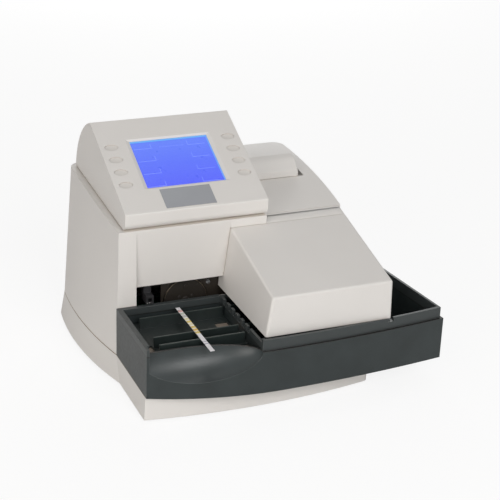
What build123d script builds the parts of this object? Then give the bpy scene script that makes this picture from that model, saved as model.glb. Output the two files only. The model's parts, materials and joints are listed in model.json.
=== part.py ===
"""Bench urine analyzer: strip tray in front, read head cover over it, tilted display and printer on top."""
from build123d import *
import math
import os

os.makedirs("parts", exist_ok=True)

# ---------------------------------------------------------------- driving dimensions, mm
# Depths are measured back from the tray's front left corner, widths from the tray's left side,
# and heights from the underside of the base, unless a comment says otherwise. Names ending in
# _from_rear are measured forward from the rear wall.
# Overall
overall_width = 374.0       # swollen left side of the base to the right end of the tray
overall_depth = 345.0       # front of the tray's bow to the connectors at the rear
wall = 3.0                  # moulded casing walls
slip = 0.3                  # gap between pieces that slide past each other
fit = 0.05                  # radial clearance of a shaft or rod in its bore

# Base
foot_proud = 3.0            # the rubber feet lift the base by this much
foot_radius = 9.0
foot_pocket = 1.5
foot_inset = 28.0
base_height = 28.5
base_front_width = 274.0
base_side_out = 1.1         # the base's front part stands out of the tray's side at its foot
base_front_corner = 7.0
base_bow = 10.0             # the base's front bows out this far between its corners
side_swell = 20.6           # the base swells out this far to the left of the tray
seam_swell = 13.5           # the same, at the seam between base and housing
swell_middle = 0.977        # share of the swell at its arc's middle; it is widest a little behind
swell_start = 88.8
rear_corner = 24.0

# Housing
seam_left = 0.6
pillar_offset = 3.2
housing_width = 279.8
pillar_width = 20.8
pillar_depth = 19.5
crown_front_height = 169.0  # top of the right half, at its front, middle and rear
crown_mid_height = 188.3
crown_rear_height = 192.2
housing_loft_height = 200.0
housing_corner_top = 14.0
window_bottom = 85.0
window_top = 108.0
panel_lean = 5.0            # the recessed panel leans in by this much at its lower edge
shadow_gap = 1.0            # dark line between the display head and the housing
vent_width = 3.0
vent_height = 20.0
vent_pitch = 8.0
vent_count = 12
vent_bottom = 148.0

# Tray; its heights are measured from its own underside
tray_depth = 137.3
tray_bow = 33.5             # the tray's front bows out in front of its left corner
tray_bow_from_left = 150.0
tray_corner_bow = 3.7
tray_right_front = 20.4     # the right front corner stands this far in front of the left one
tray_taper = 12.6           # the right side runs in towards the back
tray_floor = 5.0
tray_wall = 3.0
tray_low_height = 58.9
ledge_height = 50.5
rim_height = 63.5
rim_inset = 3.0
loading_width = 124.0       # open loading bay
waste_start = 286.0         # the waste bay runs from here to the tray's right side
runner_width = 6.0
runner_height = 3.0
runner_length = 92.0
runner_spacing = 150.0
comb_pitch = 14.0
comb_notch = 7.0
comb_depth = 6.0
comb_count = 6

# Finger scoop in the tray's front, part of an ellipsoid of revolution about a line along X
scoop_half_length = 94.0
scoop_radius = 37.0
scoop_centre_from_left = 30.0
scoop_centre_depth = -32.1
scoop_centre_height = 53.2
scoop_skin = 2.5

# Strip platform, ribs and moving table, with heights from the tray's underside
rib_top = 54.2
rib_height = 13.5
rib_thickness = 1.8
rib_left = 20.0
rib_rows = (13.0, 32.0, 81.0)
rib_margin = 4.0
platform_thickness = 2.0
platform_front = 10.5
platform_rear = 96.0
platform_notch = 105.0      # its right notch starts here
drip_thickness = 1.5
transport_rib_height = 10.0
bar_rows = (22.0, 46.0, 64.0)
bar_thickness = 2.4
table_drop = 2.5            # the moving table's bars rest this far below the ribs
table_plate = 3.0
table_length = 128.0
table_lift_room = 0.8
crank_throw = 3.0
crank_shaft_radius = 3.0
crank_height = 23.2
crank_rows = (28.0, 70.0)   # the two eccentrics of a shaft, along its length
crank_front = 4.0
crank_rear = 92.0
crank_spacing = 90.0
eccentric_radius = 7.0
eccentric_width = 5.0
lug_wall = 3.0
open_pivot_gap = 0.3
bearing_width = 14.0
bearing_length = 5.0
strip_length = 112.0
strip_width = 5.0
strip_thickness = 0.4
strip_from_left = 69.5
strip_rear = 93.0
pad_length = 4.6
pad_thickness = 0.3
pad_pitch = 7.0
pad_count = 9
pad_first = 7.7

# Read head cover
cover_front = 22.0          # the cover's face stands this far in front of the tray's corner
cover_bottom = 90.9
cover_front_top = 137.2
cover_rear = 121.8
cover_rear_top = 173.6
cover_left_bottom = 130.1
cover_left_top = 136.7
cover_right_bottom = 284.3
cover_right_top = 282.8
cover_round = 3.0

# Display head
head_left = 9.7
head_width = 171.5
head_lip_front = 101.0
head_lip_back = 102.3
head_lip_bottom = 180.4
head_lip_top = 200.8
head_apex_depth = 236.4
head_apex_height = 265.1
head_bulge_depth = 278.0
head_bulge_height = 236.0
head_rear = 298.4
head_rear_bottom = 192.2
head_wall = 3.0
head_round = 2.0
chin_round = 9.0            # lower edge of the lip
screen_width = 95.2
screen_height = 75.3
screen_up_slope = 38.8      # lower edge of the picture, up the slope from the lip
screen_shift = -0.4
screen_border_side = 4.3    # the opening's sloping border
screen_border_end = 2.4
screen_recess = 2.2
screen_land = 0.5           # upright edge at the foot of the border
glass_thickness = 1.6
glass_overlap = 3.0
lcd_thickness = 7.0
key_length = 16.0
key_height = 10.0
key_pitch = 20.2
key_first = 45.7            # lowest pair of keys, up the slope from the lip
key_rows = 4
key_spread = 143.5
key_gap = 0.25
key_sink = 0.5
key_dish = 0.8
key_flange = 1.2
key_stem = 2.0
key_room = 1.0              # from a key's stem to the board under it
keypad_depth = 8.0
keypad_width = 20.0
keypad_post = 2.0
lcd_margin = 3.0
cable_hole = 6.0
cable_row = 200.0
board_thickness = 1.6
label_width = 60.0
label_height = 29.2
label_up_slope = 3.9
label_shift = -6.2
label_thickness = 0.4

# Printer
lid_left = 187.2
lid_width = 72.8
lid_front_from_rear = 112.6
lid_back_from_rear = 40.1
lid_nose_height = 196.3
lid_brow_from_rear = 101.5
lid_brow_height = 207.6
lid_top_from_rear = 93.3
lid_top_height = 210.3
lid_slope_from_rear = 78.5
lid_back_height = 210.9
lid_rear_height = 193.0
lid_wall = 2.5
lid_skirt = 187.4
lid_round = 2.0
lid_brow_round = 18.0       # the front face turns into the top in one wide curve
bay_left = 184.4
bay_right = 268.5
bay_front_from_rear = 112.0  # the lid's nose laps over this edge
bay_back_from_rear = 34.5
bay_rim = 2.0
bay_rim_bottom = 170.0
frame_wall = 2.0
frame_bottom = 136.0
frame_top = 182.0
hinge_pin_radius = 1.5
hinge_from_rear = 43.1
hinge_height = 186.0
knuckle_radius = 3.4
knuckle_width = 6.0
roll_radius = 20.0
roll_width = 57.0
roll_core_radius = 6.0
roll_from_rear = 65.5
roll_height = 161.0
platen_radius = 4.5
platen_shaft_radius = 2.0
platen_from_rear = 103.6
platen_height = 177.5
print_head_depth = 7.5
print_head_gap = 0.5
tear_bar_thickness = 1.0
tear_bar_height = 9.0
tear_tooth = 2.0

# Push bar drive
slide_row = 117.5
slide_height = 140.0        # the screw's axis; the rods lie above and below it
slide_rise = 12.0
slide_rod_radius = 2.5
slide_screw_radius = 2.5
slide_bracket = 5.0
slide_body_depth = 11.0
slide_end = 129.0
pusher_left = 31.0
pusher_width = 13.0
pusher_overhang = 5.0
nose_width = 9.0
nose_front = 102.0
nose_bottom = 88.6
nose_height = 9.4
arm_front = 112.3
arm_rear = 118.3
socket_side = 4.4
socket_depth = 7.0
slide_motor_radius = 8.0
slide_motor_length = 13.0

# Mechanism plate and drive disc
plate_front = 124.0
plate_thickness = 3.0
plate_left = 60.0
plate_right = 274.0
plate_top = 164.0
disc_across = 89.5
disc_height = 78.0
disc_radius = 26.5
disc_thickness = 2.4
disc_pin_offset = 17.0
disc_pin_radius = 2.4
disc_shaft_radius = 2.5
disc_motor_radius = 14.0
disc_motor_length = 28.0
motor_bore_depth = 6.0
screw_head_radius = 2.6
screw_head_height = 1.4
screw_radius = 1.5
plate_screw_places = ((66.0, 55.0), (118.0, 96.0), (118.0, 55.0))

# Read head carriage
rail_middle = 211.0
rail_spacing = 44.0
rail_radius = 3.0
rail_height = 124.0
carriage_width = 62.0
carriage_length = 26.0
carriage_height = 17.0
carriage_home = 84.0
carriage_screw_radius = 2.5
rail_bracket_depth = 5.0
lens_radius = 7.0
lens_drop = 12.0
lamp_board_width = 44.0
lamp_board_length = 22.0
carriage_motor_radius = 10.0
carriage_motor_length = 16.0

# Chassis and electronics
chassis_left = 14.0
chassis_right = 268.0
chassis_front = 114.0
chassis_from_rear = 20.5
chassis_height = 8.0        # its underside, above the base's floor
chassis_thickness = 2.0
post_radius = 5.0
post_inset = 18.0
main_board_left = 30.0
main_board_width = 130.0
main_board_front = 152.0
main_board_from_rear = 44.5
standoff_height = 6.0
standoff_radius = 3.0
chip_sizes = (24.0, 14.0, 18.0, 10.0)
chip_pitch = 26.0
chip_height = 3.0
supply_left = 182.0
supply_width = 78.0
supply_front = 170.0
supply_from_rear = 46.5
supply_height = 42.0

# Rear panel
rear_panel_width = 200.0
rear_panel_height = 92.0
rear_panel_bottom = 44.0
rear_panel_thickness = 2.0
rear_panel_lap = 7.0
screw_length = 8.0
screw_slot = 0.6
connector_height = 66.0
inlet_across = 70.0         # left of the housing's middle, seen from the front
inlet_width = 28.0
inlet_height = 20.0
inlet_depth = 20.0
inlet_flange = 4.0
inlet_wall = 2.0
inlet_pin_width = 2.0
inlet_pin_height = 4.0
inlet_pin_pitch = 7.0
switch_across = 32.0
rocker_width = 12.0
rocker_radius = 10.0        # its round back, also half its height
rocker_swing = 8.0          # it rests tipped this many degrees, and tips as many the other way
rocker_depth = 3.0          # its pivot lies this far inside the rear wall
rocker_edge = 5.0           # proud edges and low middle of its bent face, in front of the pivot
rocker_middle = 1.5
rocker_pin_radius = 1.5
switch_frame = 3.0
flange_proud = 1.5
switch_depth = 16.0
serial_across = -14.0
serial_width = 17.0
parallel_across = -62.0
parallel_width = 39.0
port_height = 8.5
port_flange = 7.0
port_proud = 5.0
port_plate = 0.8

# ---------------------------------------------------------------- datums
x0 = -overall_width / 2 + side_swell       # the tray's left side
y0 = -overall_depth / 2 + tray_bow         # the tray's front left corner
z0 = foot_proud                            # the underside of the base
rear = overall_depth / 2 - port_proud      # the rear wall
tray_right = overall_width / 2
base_top = z0 + base_height
tray_bottom = base_top + slip
tray_back = -overall_depth / 2 + tray_depth
housing_front = tray_back + slip
housing_left = x0 + pillar_offset
housing_middle = housing_left + housing_width / 2
head_right = head_left + head_width
head_seat_slope = (head_rear_bottom - head_lip_bottom) / (head_rear - head_lip_back)
head_middle = x0 + head_left + head_width / 2
plate_y = y0 + plate_front
plate_back = plate_y + plate_thickness
slide_y = y0 + slide_row
slide_z = z0 + slide_height
panel_x = (housing_middle - rear_panel_width / 2, housing_middle + rear_panel_width / 2)
panel_z = (z0 + rear_panel_bottom, z0 + rear_panel_bottom + rear_panel_height)
panel_screws = [(x, z) for x in (panel_x[0] + rear_panel_lap / 2, panel_x[1] - rear_panel_lap / 2)
                for z in (panel_z[0] + rear_panel_lap / 2, panel_z[1] - rear_panel_lap / 2)]
chassis_top = z0 + wall + chassis_height + chassis_thickness


def save(builder, name):
    """Name a finished piece and write it to its own file."""
    builder.part.label = name
    export_step(builder.part, f"parts/{name}.step")


def block(x_range, y_range, z_range, mode=Mode.ADD):
    """A box between two limits along each axis."""
    ranges = (x_range, y_range, z_range)
    with Locations(tuple((low + high) / 2 for low, high in ranges)):
        Box(*(high - low for low, high in ranges), mode=mode)


def rod(start, end, radius, mode=Mode.ADD):
    """A cylinder from one point to another."""
    direction = Vector(*end) - Vector(*start)
    with Locations(Plane(origin=start, z_dir=direction)):
        Cylinder(radius, direction.length, align=(Align.CENTER, Align.CENTER, Align.MIN), mode=mode)


def across(x):
    """A place measured from the tray's left side."""
    return x0 + x


def behind(y):
    """A place measured back from the tray's front left corner."""
    return y0 + y


def above(z):
    """A height measured from the underside of the base."""
    return z0 + z


def in_tray(z):
    """A height measured from the tray's underside."""
    return tray_bottom + z


def opposite(x):
    """The same distance on the other side of the housing's middle."""
    return 2 * housing_middle - x


def side_profile(x, points):
    """A closed outline in the plane across X, from (depth, height) points."""
    with BuildSketch(Plane.YZ.offset(x)) as profile:
        with BuildLine():
            Polyline(*points, close=True)
        make_face()
    return profile.sketch


# ---------------------------------------------------------------- casing outlines
def swollen_rear(left_x, swell, back, inset):
    """Rear left corner and the middle of the swollen left side, from the tray's left side."""
    rear_x = x0 - swell * 0.6 + inset if swell else left_x
    return (rear_x, back), x0 - swell * swell_middle + inset if swell else left_x - slip


def base_outline(level, side, swell, start, inset=0.0):
    """Plan of the base at one level; side is how far its front part stands out of the tray."""
    left = x0 - side + inset
    right_front = (x0 - side + base_front_width - inset, y0 + base_front_corner / 2 + inset)
    left_rear, swell_x = swollen_rear(left, swell, rear - inset, inset)
    swell_row = y0 + (swell_start + rear - y0) / 2
    with BuildSketch(Plane.XY.offset(level)) as outline:
        with BuildLine():
            Line((left, y0 + inset), (left, y0 + start))
            ThreePointArc((left, y0 + start), (swell_x, swell_row), left_rear)
            Line(left_rear, (opposite(left_rear[0]), left_rear[1]))
            ThreePointArc((opposite(left_rear[0]), left_rear[1]), (opposite(swell_x), swell_row),
                          (opposite(left), y0 + start))
            Line((opposite(left), y0 + start), right_front)
            ThreePointArc(right_front, (x0 + base_front_width / 2, y0 - base_bow + inset), (left, y0 + inset))
        make_face()
        fillet(outline.vertices().group_by(Axis.Y)[-1], rear_corner - inset)
        fillet(outline.vertices().sort_by_distance(right_front)[0], base_front_corner - inset)
    return outline.sketch


def housing_outline(level, left, swell, corner, inset=0.0):
    """Plan of the upper housing at one level."""
    left = left + inset
    front = housing_front + inset
    left_rear, swell_x = swollen_rear(left, swell, rear - inset, inset)
    middle_row = (housing_front + rear) / 2
    with BuildSketch(Plane.XY.offset(level)) as outline:
        with BuildLine():
            ThreePointArc((left, front), (swell_x, middle_row), left_rear)
            Line(left_rear, (opposite(left_rear[0]), left_rear[1]))
            ThreePointArc((opposite(left_rear[0]), left_rear[1]), (opposite(swell_x), middle_row),
                          (opposite(left), front))
            Line((opposite(left), front), (left, front))
        make_face()
        fillet(outline.vertices().group_by(Axis.Y)[-1], corner - inset)
    return outline.sketch


def head_seat_height(y, drop=0.0):
    """Height of the display head's underside above a place measured from the tray's corner."""
    return above(head_lip_bottom + (y - head_lip_back) * head_seat_slope - drop)


def above_housing(drop):
    """Everything above the housing's top, lowered by drop."""
    sky = above(head_apex_height)
    front = housing_front - y0 - wall
    back = rear - y0 + wall
    seat = shadow_gap + drop
    left_points = [(behind(front), head_seat_height(front, seat)),
                   (behind(back), head_seat_height(back, seat)), (behind(back), sky), (behind(front), sky)]
    crown = [(behind(front), above(crown_front_height - 2 * wall * head_seat_slope - drop)),
             (behind(front + (back - front) / 2), above(crown_mid_height - drop)),
             (behind(back), above(crown_rear_height - drop))]
    start = across(-2 * side_swell)
    with BuildPart() as cut:
        extrude(side_profile(start, left_points), amount=across(head_right) - start)
        with BuildSketch(Plane.YZ.offset(across(head_right))):
            with BuildLine():
                ThreePointArc(*crown)
                Polyline(crown[2], (behind(back), sky), (behind(front), sky), crown[0])
            make_face()
        extrude(amount=tray_right - across(head_right))
    return cut.part


def cover_form(grow, extra_down=0.0, extra_back=0.0):
    """The read head cover's block, grown all round by grow."""
    bottom = above(cover_bottom) - grow - extra_down
    low = (across(cover_left_bottom) - grow, across(cover_right_bottom) + grow)
    high = (across(cover_left_top) - grow, across(cover_right_top) + grow)
    rise = (cover_rear_top - cover_front_top) / (cover_front + cover_rear)
    with BuildPart() as form:
        for y in (behind(-cover_front) - grow, behind(cover_rear) + grow + extra_back):
            top = above(cover_front_top) + (y - behind(-cover_front)) * rise + grow
            with BuildSketch(Plane.XZ.offset(-y)):
                with BuildLine():
                    Polyline((low[0], bottom), (low[1], bottom), (high[1], top), (high[0], top), close=True)
                make_face()
        loft(ruled=True)
    return form.part


# ---------------------------------------------------------------- base
foot_places = [(across(foot_inset), behind(foot_inset)),
               (across(base_front_width - foot_inset), behind(foot_inset)),
               (across(foot_inset), rear - foot_inset),
               (opposite(across(foot_inset)), rear - foot_inset)]
chassis_y = (behind(chassis_front), rear - chassis_from_rear)
post_places = [(across(x), y) for x in (chassis_left + post_inset, chassis_right - post_inset)
               for y in (chassis_y[0] + post_inset, chassis_y[1] - post_inset)]
chassis_bottom = chassis_top - chassis_thickness

with BuildPart() as base_hollow:
    add(base_outline(z0 + wall, base_side_out, side_swell, swell_start, inset=wall))
    add(base_outline(base_top - wall, 0.0, seam_swell, housing_front - y0, inset=wall))
    loft(ruled=True)
with BuildPart() as base_shell:
    add(base_outline(z0, base_side_out, side_swell, swell_start))
    add(base_outline(base_top, 0.0, seam_swell, housing_front - y0))
    loft(ruled=True)
    add(base_hollow.part, mode=Mode.SUBTRACT)
    extrude(housing_outline(base_top - wall, across(seam_left), seam_swell, rear_corner, inset=wall),
            amount=wall, mode=Mode.SUBTRACT)
    for x, y in post_places:
        rod((x, y, z0 + wall / 2), (x, y, chassis_bottom), post_radius)
        rod((x, y, z0 + wall), (x, y, chassis_bottom), screw_radius, mode=Mode.SUBTRACT)
    for x, y in foot_places:
        rod((x, y, z0), (x, y, z0 + foot_pocket), foot_radius, mode=Mode.SUBTRACT)
save(base_shell, "base_shell")

with BuildPart() as feet:
    for x, y in foot_places:
        rod((x, y, 0), (x, y, z0 + foot_pocket), foot_radius)
    fillet(feet.edges().group_by(Axis.Z)[0], foot_pocket / 2)
save(feet, "feet")

# Steel runners on the base's shelf, in channels under the tray
runner_front = tray_back - runner_length
runner_places = [across(loading_width / 2 + i * runner_spacing) for i in (0, 1)]
with BuildPart() as tray_runners:
    for x in runner_places:
        block((x - runner_width / 2, x + runner_width / 2), (runner_front, tray_back),
              (base_top, base_top + runner_height))
save(tray_runners, "tray_runners")

# ---------------------------------------------------------------- upper housing
pillar_right = housing_left + pillar_width
roof_bottom = head_seat_height(housing_front - y0, shadow_gap + wall)
panel_bottom = above(window_top)
panel_back = housing_front + panel_lean
with BuildPart() as housing_hollow:
    add(housing_outline(base_top, across(seam_left), seam_swell, rear_corner, inset=wall))
    add(housing_outline(above(housing_loft_height), housing_left, 0, housing_corner_top, inset=wall))
    loft(ruled=True)
    add(above_housing(wall), mode=Mode.SUBTRACT)
bay_x = (across(bay_left), across(bay_right))
bay_y = (rear - bay_front_from_rear, rear - bay_back_from_rear)
with BuildPart() as upper_shell:
    add(housing_outline(base_top, across(seam_left), seam_swell, rear_corner))
    add(housing_outline(above(housing_loft_height), housing_left, 0, housing_corner_top))
    loft(ruled=True)
    add(housing_hollow.part, mode=Mode.SUBTRACT)
    # collar that carries the printer under its opening
    block((bay_x[0] - bay_rim, bay_x[1] + bay_rim), (bay_y[0] - bay_rim, bay_y[1] + bay_rim),
          (above(bay_rim_bottom), above(crown_rear_height)))
    # recessed panel over the opening, and the pillar's inner side
    block((pillar_right, across(cover_left_top)), (housing_front, housing_front + wall),
          (above(window_bottom), roof_bottom), mode=Mode.SUBTRACT)
    extrude(side_profile(pillar_right, [(housing_front, roof_bottom), (housing_front + wall, roof_bottom),
                                        (panel_back + wall, panel_bottom), (panel_back, panel_bottom)]),
            amount=across(cover_left_top) + wall - pillar_right)
    block((pillar_right - wall, pillar_right), (housing_front, housing_front + pillar_depth),
          (base_top, roof_bottom))
    add(above_housing(0), mode=Mode.SUBTRACT)
    block(bay_x, bay_y, (above(bay_rim_bottom), above(head_apex_height)), mode=Mode.SUBTRACT)
    # the housing is open towards the tray behind the read head cover
    block((across(cover_left_bottom), across(plate_right)), (housing_front, housing_front + wall),
          (above(window_bottom), above(cover_bottom)), mode=Mode.SUBTRACT)
    add(cover_form(slip), mode=Mode.SUBTRACT)
    block((across(cover_right_top) - wall, tray_right), (housing_front, behind(cover_rear) + slip),
          (above(cover_bottom) - slip, above(head_apex_height)), mode=Mode.SUBTRACT)
    # window and seat of the rear panel, vent slots, cable hole under the head
    block((panel_x[0] + rear_panel_lap, panel_x[1] - rear_panel_lap), (rear - 2 * wall, rear),
          (panel_z[0] + rear_panel_lap, panel_z[1] - rear_panel_lap), mode=Mode.SUBTRACT)
    block((panel_x[0] - slip, panel_x[1] + slip), (rear - rear_panel_thickness, rear),
          (panel_z[0] - slip, panel_z[1] + slip), mode=Mode.SUBTRACT)
    for x, z in panel_screws:
        rod((x, rear - 2 * wall, z), (x, rear, z), screw_radius, mode=Mode.SUBTRACT)
    for i in range(vent_count):
        x = housing_middle + (i - (vent_count - 1) / 2) * vent_pitch
        block((x - vent_width / 2, x + vent_width / 2), (rear - 2 * wall, rear),
              (above(vent_bottom), above(vent_bottom + vent_height)), mode=Mode.SUBTRACT)
    rod((head_middle, behind(cable_row), above(crown_front_height)),
        (head_middle, behind(cable_row), above(crown_rear_height + wall)), cable_hole, mode=Mode.SUBTRACT)
    # hole in the pillar for the push bar's screw
    rod((pillar_right - wall, slide_y, slide_z), (pillar_right, slide_y, slide_z), slide_screw_radius + fit,
        mode=Mode.SUBTRACT)
save(upper_shell, "upper_shell")

# ---------------------------------------------------------------- read head cover
with BuildPart() as read_head_cover:
    add(cover_form(0))
    front_edges = read_head_cover.faces().sort_by(Axis.Y)[0].edges().sort_by(Axis.Z)[1:]
    top_edges = [e for e in read_head_cover.faces().sort_by(Axis.Z)[-1].edges()
                 if abs(e.tangent_at(0.5).Y) > 0.5]
    fillet(list(front_edges) + top_edges, cover_round)
    add(cover_form(-wall, extra_down=2 * wall, extra_back=2 * wall), mode=Mode.SUBTRACT)
save(read_head_cover, "read_head_cover")

# ---------------------------------------------------------------- tray
tray_apex = (across(tray_bow_from_left), behind(-tray_bow))
hollow_inset = tray_wall + rim_inset


def tray_outline(level, inset=0.0):
    """Plan of the tray at one level, its walls moved in by inset."""
    left_front = (x0 + inset, behind(-tray_corner_bow) + inset)
    right_front = (tray_right - inset, behind(-tray_right_front) + inset)
    right_back = (tray_right - tray_taper - inset, tray_back - inset)
    apex = (tray_apex[0], tray_apex[1] + inset)
    with BuildSketch(Plane.XY.offset(level)) as outline:
        with BuildLine():
            Polyline(left_front, (x0 + inset, tray_back - inset), right_back, right_front)
            TangentArc(apex, right_front, tangent=(1, 0))
            TangentArc(apex, left_front, tangent=(-1, 0))
        make_face()
    return outline.sketch


def scoop_form(grow):
    """The finger scoop: an ellipsoid of revolution, its upper half drawn straight up."""
    centre = (across(scoop_centre_from_left), behind(scoop_centre_depth), in_tray(scoop_centre_height))
    with BuildPart() as form:
        with BuildSketch(Plane(origin=centre, x_dir=(1, 0, 0), z_dir=(0, 0, 1))) as half:
            Ellipse(scoop_half_length + grow, scoop_radius + grow)
            with Locations((0, -scoop_radius)):
                Rectangle(2 * scoop_half_length + 4 * grow, 2 * scoop_radius, mode=Mode.SUBTRACT)
        revolve(axis=Axis(centre, (1, 0, 0)))
        with BuildSketch(Plane(origin=centre, x_dir=(1, 0, 0), z_dir=(0, 0, 1))):
            Ellipse(scoop_half_length + grow, scoop_radius + grow)
        extrude(amount=rim_height)
    return form.part


loading_x = (across(tray_wall), across(loading_width))
transport_x = (across(loading_width + tray_wall), across(waste_start - tray_wall))
floor_top = in_tray(tray_floor)
ledge = in_tray(ledge_height)
low_top = in_tray(tray_low_height)
rim_top = in_tray(rim_height)
deep_front = behind(-tray_bow - wall)
crank_z = in_tray(crank_height)
crank_xs = [(transport_x[0] + transport_x[1]) / 2 + i * crank_spacing / 2 for i in (-1, 1)]

with BuildPart() as rim_cut:
    extrude(tray_outline(ledge), amount=rim_height)
    extrude(tray_outline(ledge, inset=rim_inset), amount=rim_height, mode=Mode.SUBTRACT)
    block((x0 - wall, across(loading_width) - slip), (deep_front, tray_back + wall),
          (ledge, ledge + 2 * rim_height), mode=Mode.SUBTRACT)
with BuildPart() as tray_hollow:
    extrude(tray_outline(floor_top, inset=hollow_inset), amount=rim_height)
    for x in (across(loading_width), across(waste_start - tray_wall)):
        block((x, x + tray_wall), (deep_front, tray_back), (floor_top, rim_top + wall), mode=Mode.SUBTRACT)
    add(scoop_form(scoop_skin), mode=Mode.SUBTRACT)
with BuildPart() as scoop_cut:
    add(scoop_form(0))
    block((across(-2 * scoop_half_length), loading_x[0]), (deep_front, tray_back), (tray_bottom, 2 * rim_top),
          mode=Mode.SUBTRACT)
with BuildPart() as scoop_top_cut:
    add(scoop_form(scoop_skin))
    block((across(-2 * scoop_half_length), loading_x[0]), (deep_front, tray_back), (tray_bottom, 2 * rim_top),
          mode=Mode.SUBTRACT)
    block((across(-2 * scoop_half_length), tray_right), (deep_front - scoop_radius, tray_back),
          (tray_bottom, ledge), mode=Mode.SUBTRACT)
    block((loading_x[1], tray_right), (deep_front - scoop_radius, tray_back), (ledge, 2 * rim_top),
          mode=Mode.SUBTRACT)
with BuildPart() as tray_body:
    extrude(tray_outline(tray_bottom), amount=rim_height)
    add(rim_cut.part, mode=Mode.SUBTRACT)
    add(tray_hollow.part, mode=Mode.SUBTRACT)
    add(scoop_cut.part, mode=Mode.SUBTRACT)
    add(scoop_top_cut.part, mode=Mode.SUBTRACT)
    # low walls of the loading bay, and under the read head cover
    block((x0 - wall, across(loading_width)), (deep_front, tray_back + wall), (low_top, 2 * rim_top),
          mode=Mode.SUBTRACT)
    block((across(loading_width), across(waste_start)), (behind(-cover_front - wall), tray_back + wall),
          (low_top, 2 * rim_top), mode=Mode.SUBTRACT)
    # notched comb between the loading bay and the moving table
    for i in range(comb_count):
        y = behind(rib_rows[0]) + i * comb_pitch
        block((loading_x[1] - wall, transport_x[0] + wall / 2), (y - comb_notch / 2, y + comb_notch / 2),
              (low_top - comb_depth, rim_top), mode=Mode.SUBTRACT)
    # channels for the runners
    for x in runner_places:
        half = runner_width / 2 + slip
        block((x - half, x + half), (runner_front - slip, tray_back + wall),
              (tray_bottom, base_top + runner_height + slip), mode=Mode.SUBTRACT)
    # bearing blocks of the two crank shafts
    for x in crank_xs:
        for y in (behind(crank_front), behind(crank_rear) - bearing_length):
            block((x - bearing_width / 2, x + bearing_width / 2), (y, y + bearing_length),
                  (floor_top - wall / 2, crank_z + bearing_width / 2))
            rod((x, y - wall, crank_z), (x, y + bearing_length + wall, crank_z), crank_shaft_radius + fit,
                mode=Mode.SUBTRACT)
save(tray_body, "tray_body")

# ---------------------------------------------------------------- loading bay: drip plate, platform and strip
platform_bottom = in_tray(rib_top - rib_height - platform_thickness)
platform_top = platform_bottom + platform_thickness
platform_x = (across(hollow_inset) + slip, loading_x[1] - slip)
platform_y = (behind(platform_front), behind(platform_rear))
drip_x = (platform_x[0] + wall, platform_x[1] - slip)
drip_y = (platform_y[0] + slip, platform_y[1] - wall)
leg = 2 * wall
with BuildPart() as drip_plate:
    block(drip_x, drip_y, (platform_bottom - drip_thickness, platform_bottom))
    for x in (drip_x[0], drip_x[1] - leg):
        for y in (drip_y[0], drip_y[1] - leg):
            block((x, x + leg), (y, y + leg), (floor_top, platform_bottom))
save(drip_plate, "drip_plate")

left_notch = (platform_x[0] + wall, across(rib_left) - slip)
right_notch = (across(platform_notch), platform_x[1] - wall)
with BuildPart() as strip_platform:
    block(platform_x, platform_y, (platform_bottom, platform_top))
    block(left_notch, (drip_y[0] + 2 * slip, behind(rib_rows[1]) + 2 * wall), (platform_bottom, platform_top),
          mode=Mode.SUBTRACT)
    block(right_notch, (behind(rib_rows[1]) + 4 * wall, behind(rib_rows[2]) - 4 * wall),
          (platform_bottom, platform_top), mode=Mode.SUBTRACT)
    for row in rib_rows:
        block((across(rib_left), loading_x[1] - rib_margin),
              (behind(row) - rib_thickness / 2, behind(row) + rib_thickness / 2),
              (platform_bottom, in_tray(rib_top)))
save(strip_platform, "strip_platform")

strip_x = (across(strip_from_left) - strip_width / 2, across(strip_from_left) + strip_width / 2)
strip_y = (behind(strip_rear - strip_length), behind(strip_rear))
strip_z = in_tray(rib_top)
with BuildPart() as test_strip:
    block(strip_x, strip_y, (strip_z, strip_z + strip_thickness))
    pad_z = (strip_z + strip_thickness, strip_z + strip_thickness + pad_thickness)
    for i in range(pad_count):
        y = strip_y[1] - pad_first - i * pad_pitch
        block(strip_x, (y - pad_length, y), pad_z)
save(test_strip, "test_strip")

# ---------------------------------------------------------------- strip transport under the cover
rib_y = [behind(row) for row in rib_rows]
rib_bottom = in_tray(rib_top - transport_rib_height)
end_x = ((transport_x[0], transport_x[0] + wall), (transport_x[1] - wall, transport_x[1]))
with BuildPart() as fixed_ribs:
    for y in rib_y:
        block((transport_x[0], transport_x[1]), (y - rib_thickness / 2, y + rib_thickness / 2),
              (rib_bottom, in_tray(rib_top)))
    for x_range in end_x:
        block(x_range, (rib_y[0] - rib_thickness / 2, rib_y[-1] + rib_thickness / 2),
              (floor_top, in_tray(rib_top - comb_depth)))
save(fixed_ribs, "fixed_ribs")

table_top = rib_bottom - 2 * crank_throw - table_lift_room
table_middle = (transport_x[0] + transport_x[1]) / 2
table_x = (table_middle - table_length / 2, table_middle + table_length / 2)
eccentric_z = crank_z - crank_throw
lug_radius = eccentric_radius + lug_wall
with BuildPart() as moving_table:
    block(table_x, (behind(bar_rows[0]) - leg / 2, behind(bar_rows[-1]) + leg),
          (table_top - table_plate, table_top))
    for row in bar_rows:
        block(table_x, (behind(row) - bar_thickness / 2, behind(row) + bar_thickness / 2),
              (table_top - table_plate, in_tray(rib_top - table_drop)))
    for x, clearance in zip(crank_xs, (fit, open_pivot_gap)):
        for row in crank_rows:
            y = (behind(row) - eccentric_width / 2, behind(row) + eccentric_width / 2)
            block((x - lug_radius, x + lug_radius), y, (eccentric_z, table_top - table_plate / 2))
            rod((x, y[0], eccentric_z), (x, y[1], eccentric_z), lug_radius)
            rod((x, y[0], eccentric_z), (x, y[1], eccentric_z), eccentric_radius + clearance,
                mode=Mode.SUBTRACT)
save(moving_table, "moving_table")

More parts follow.
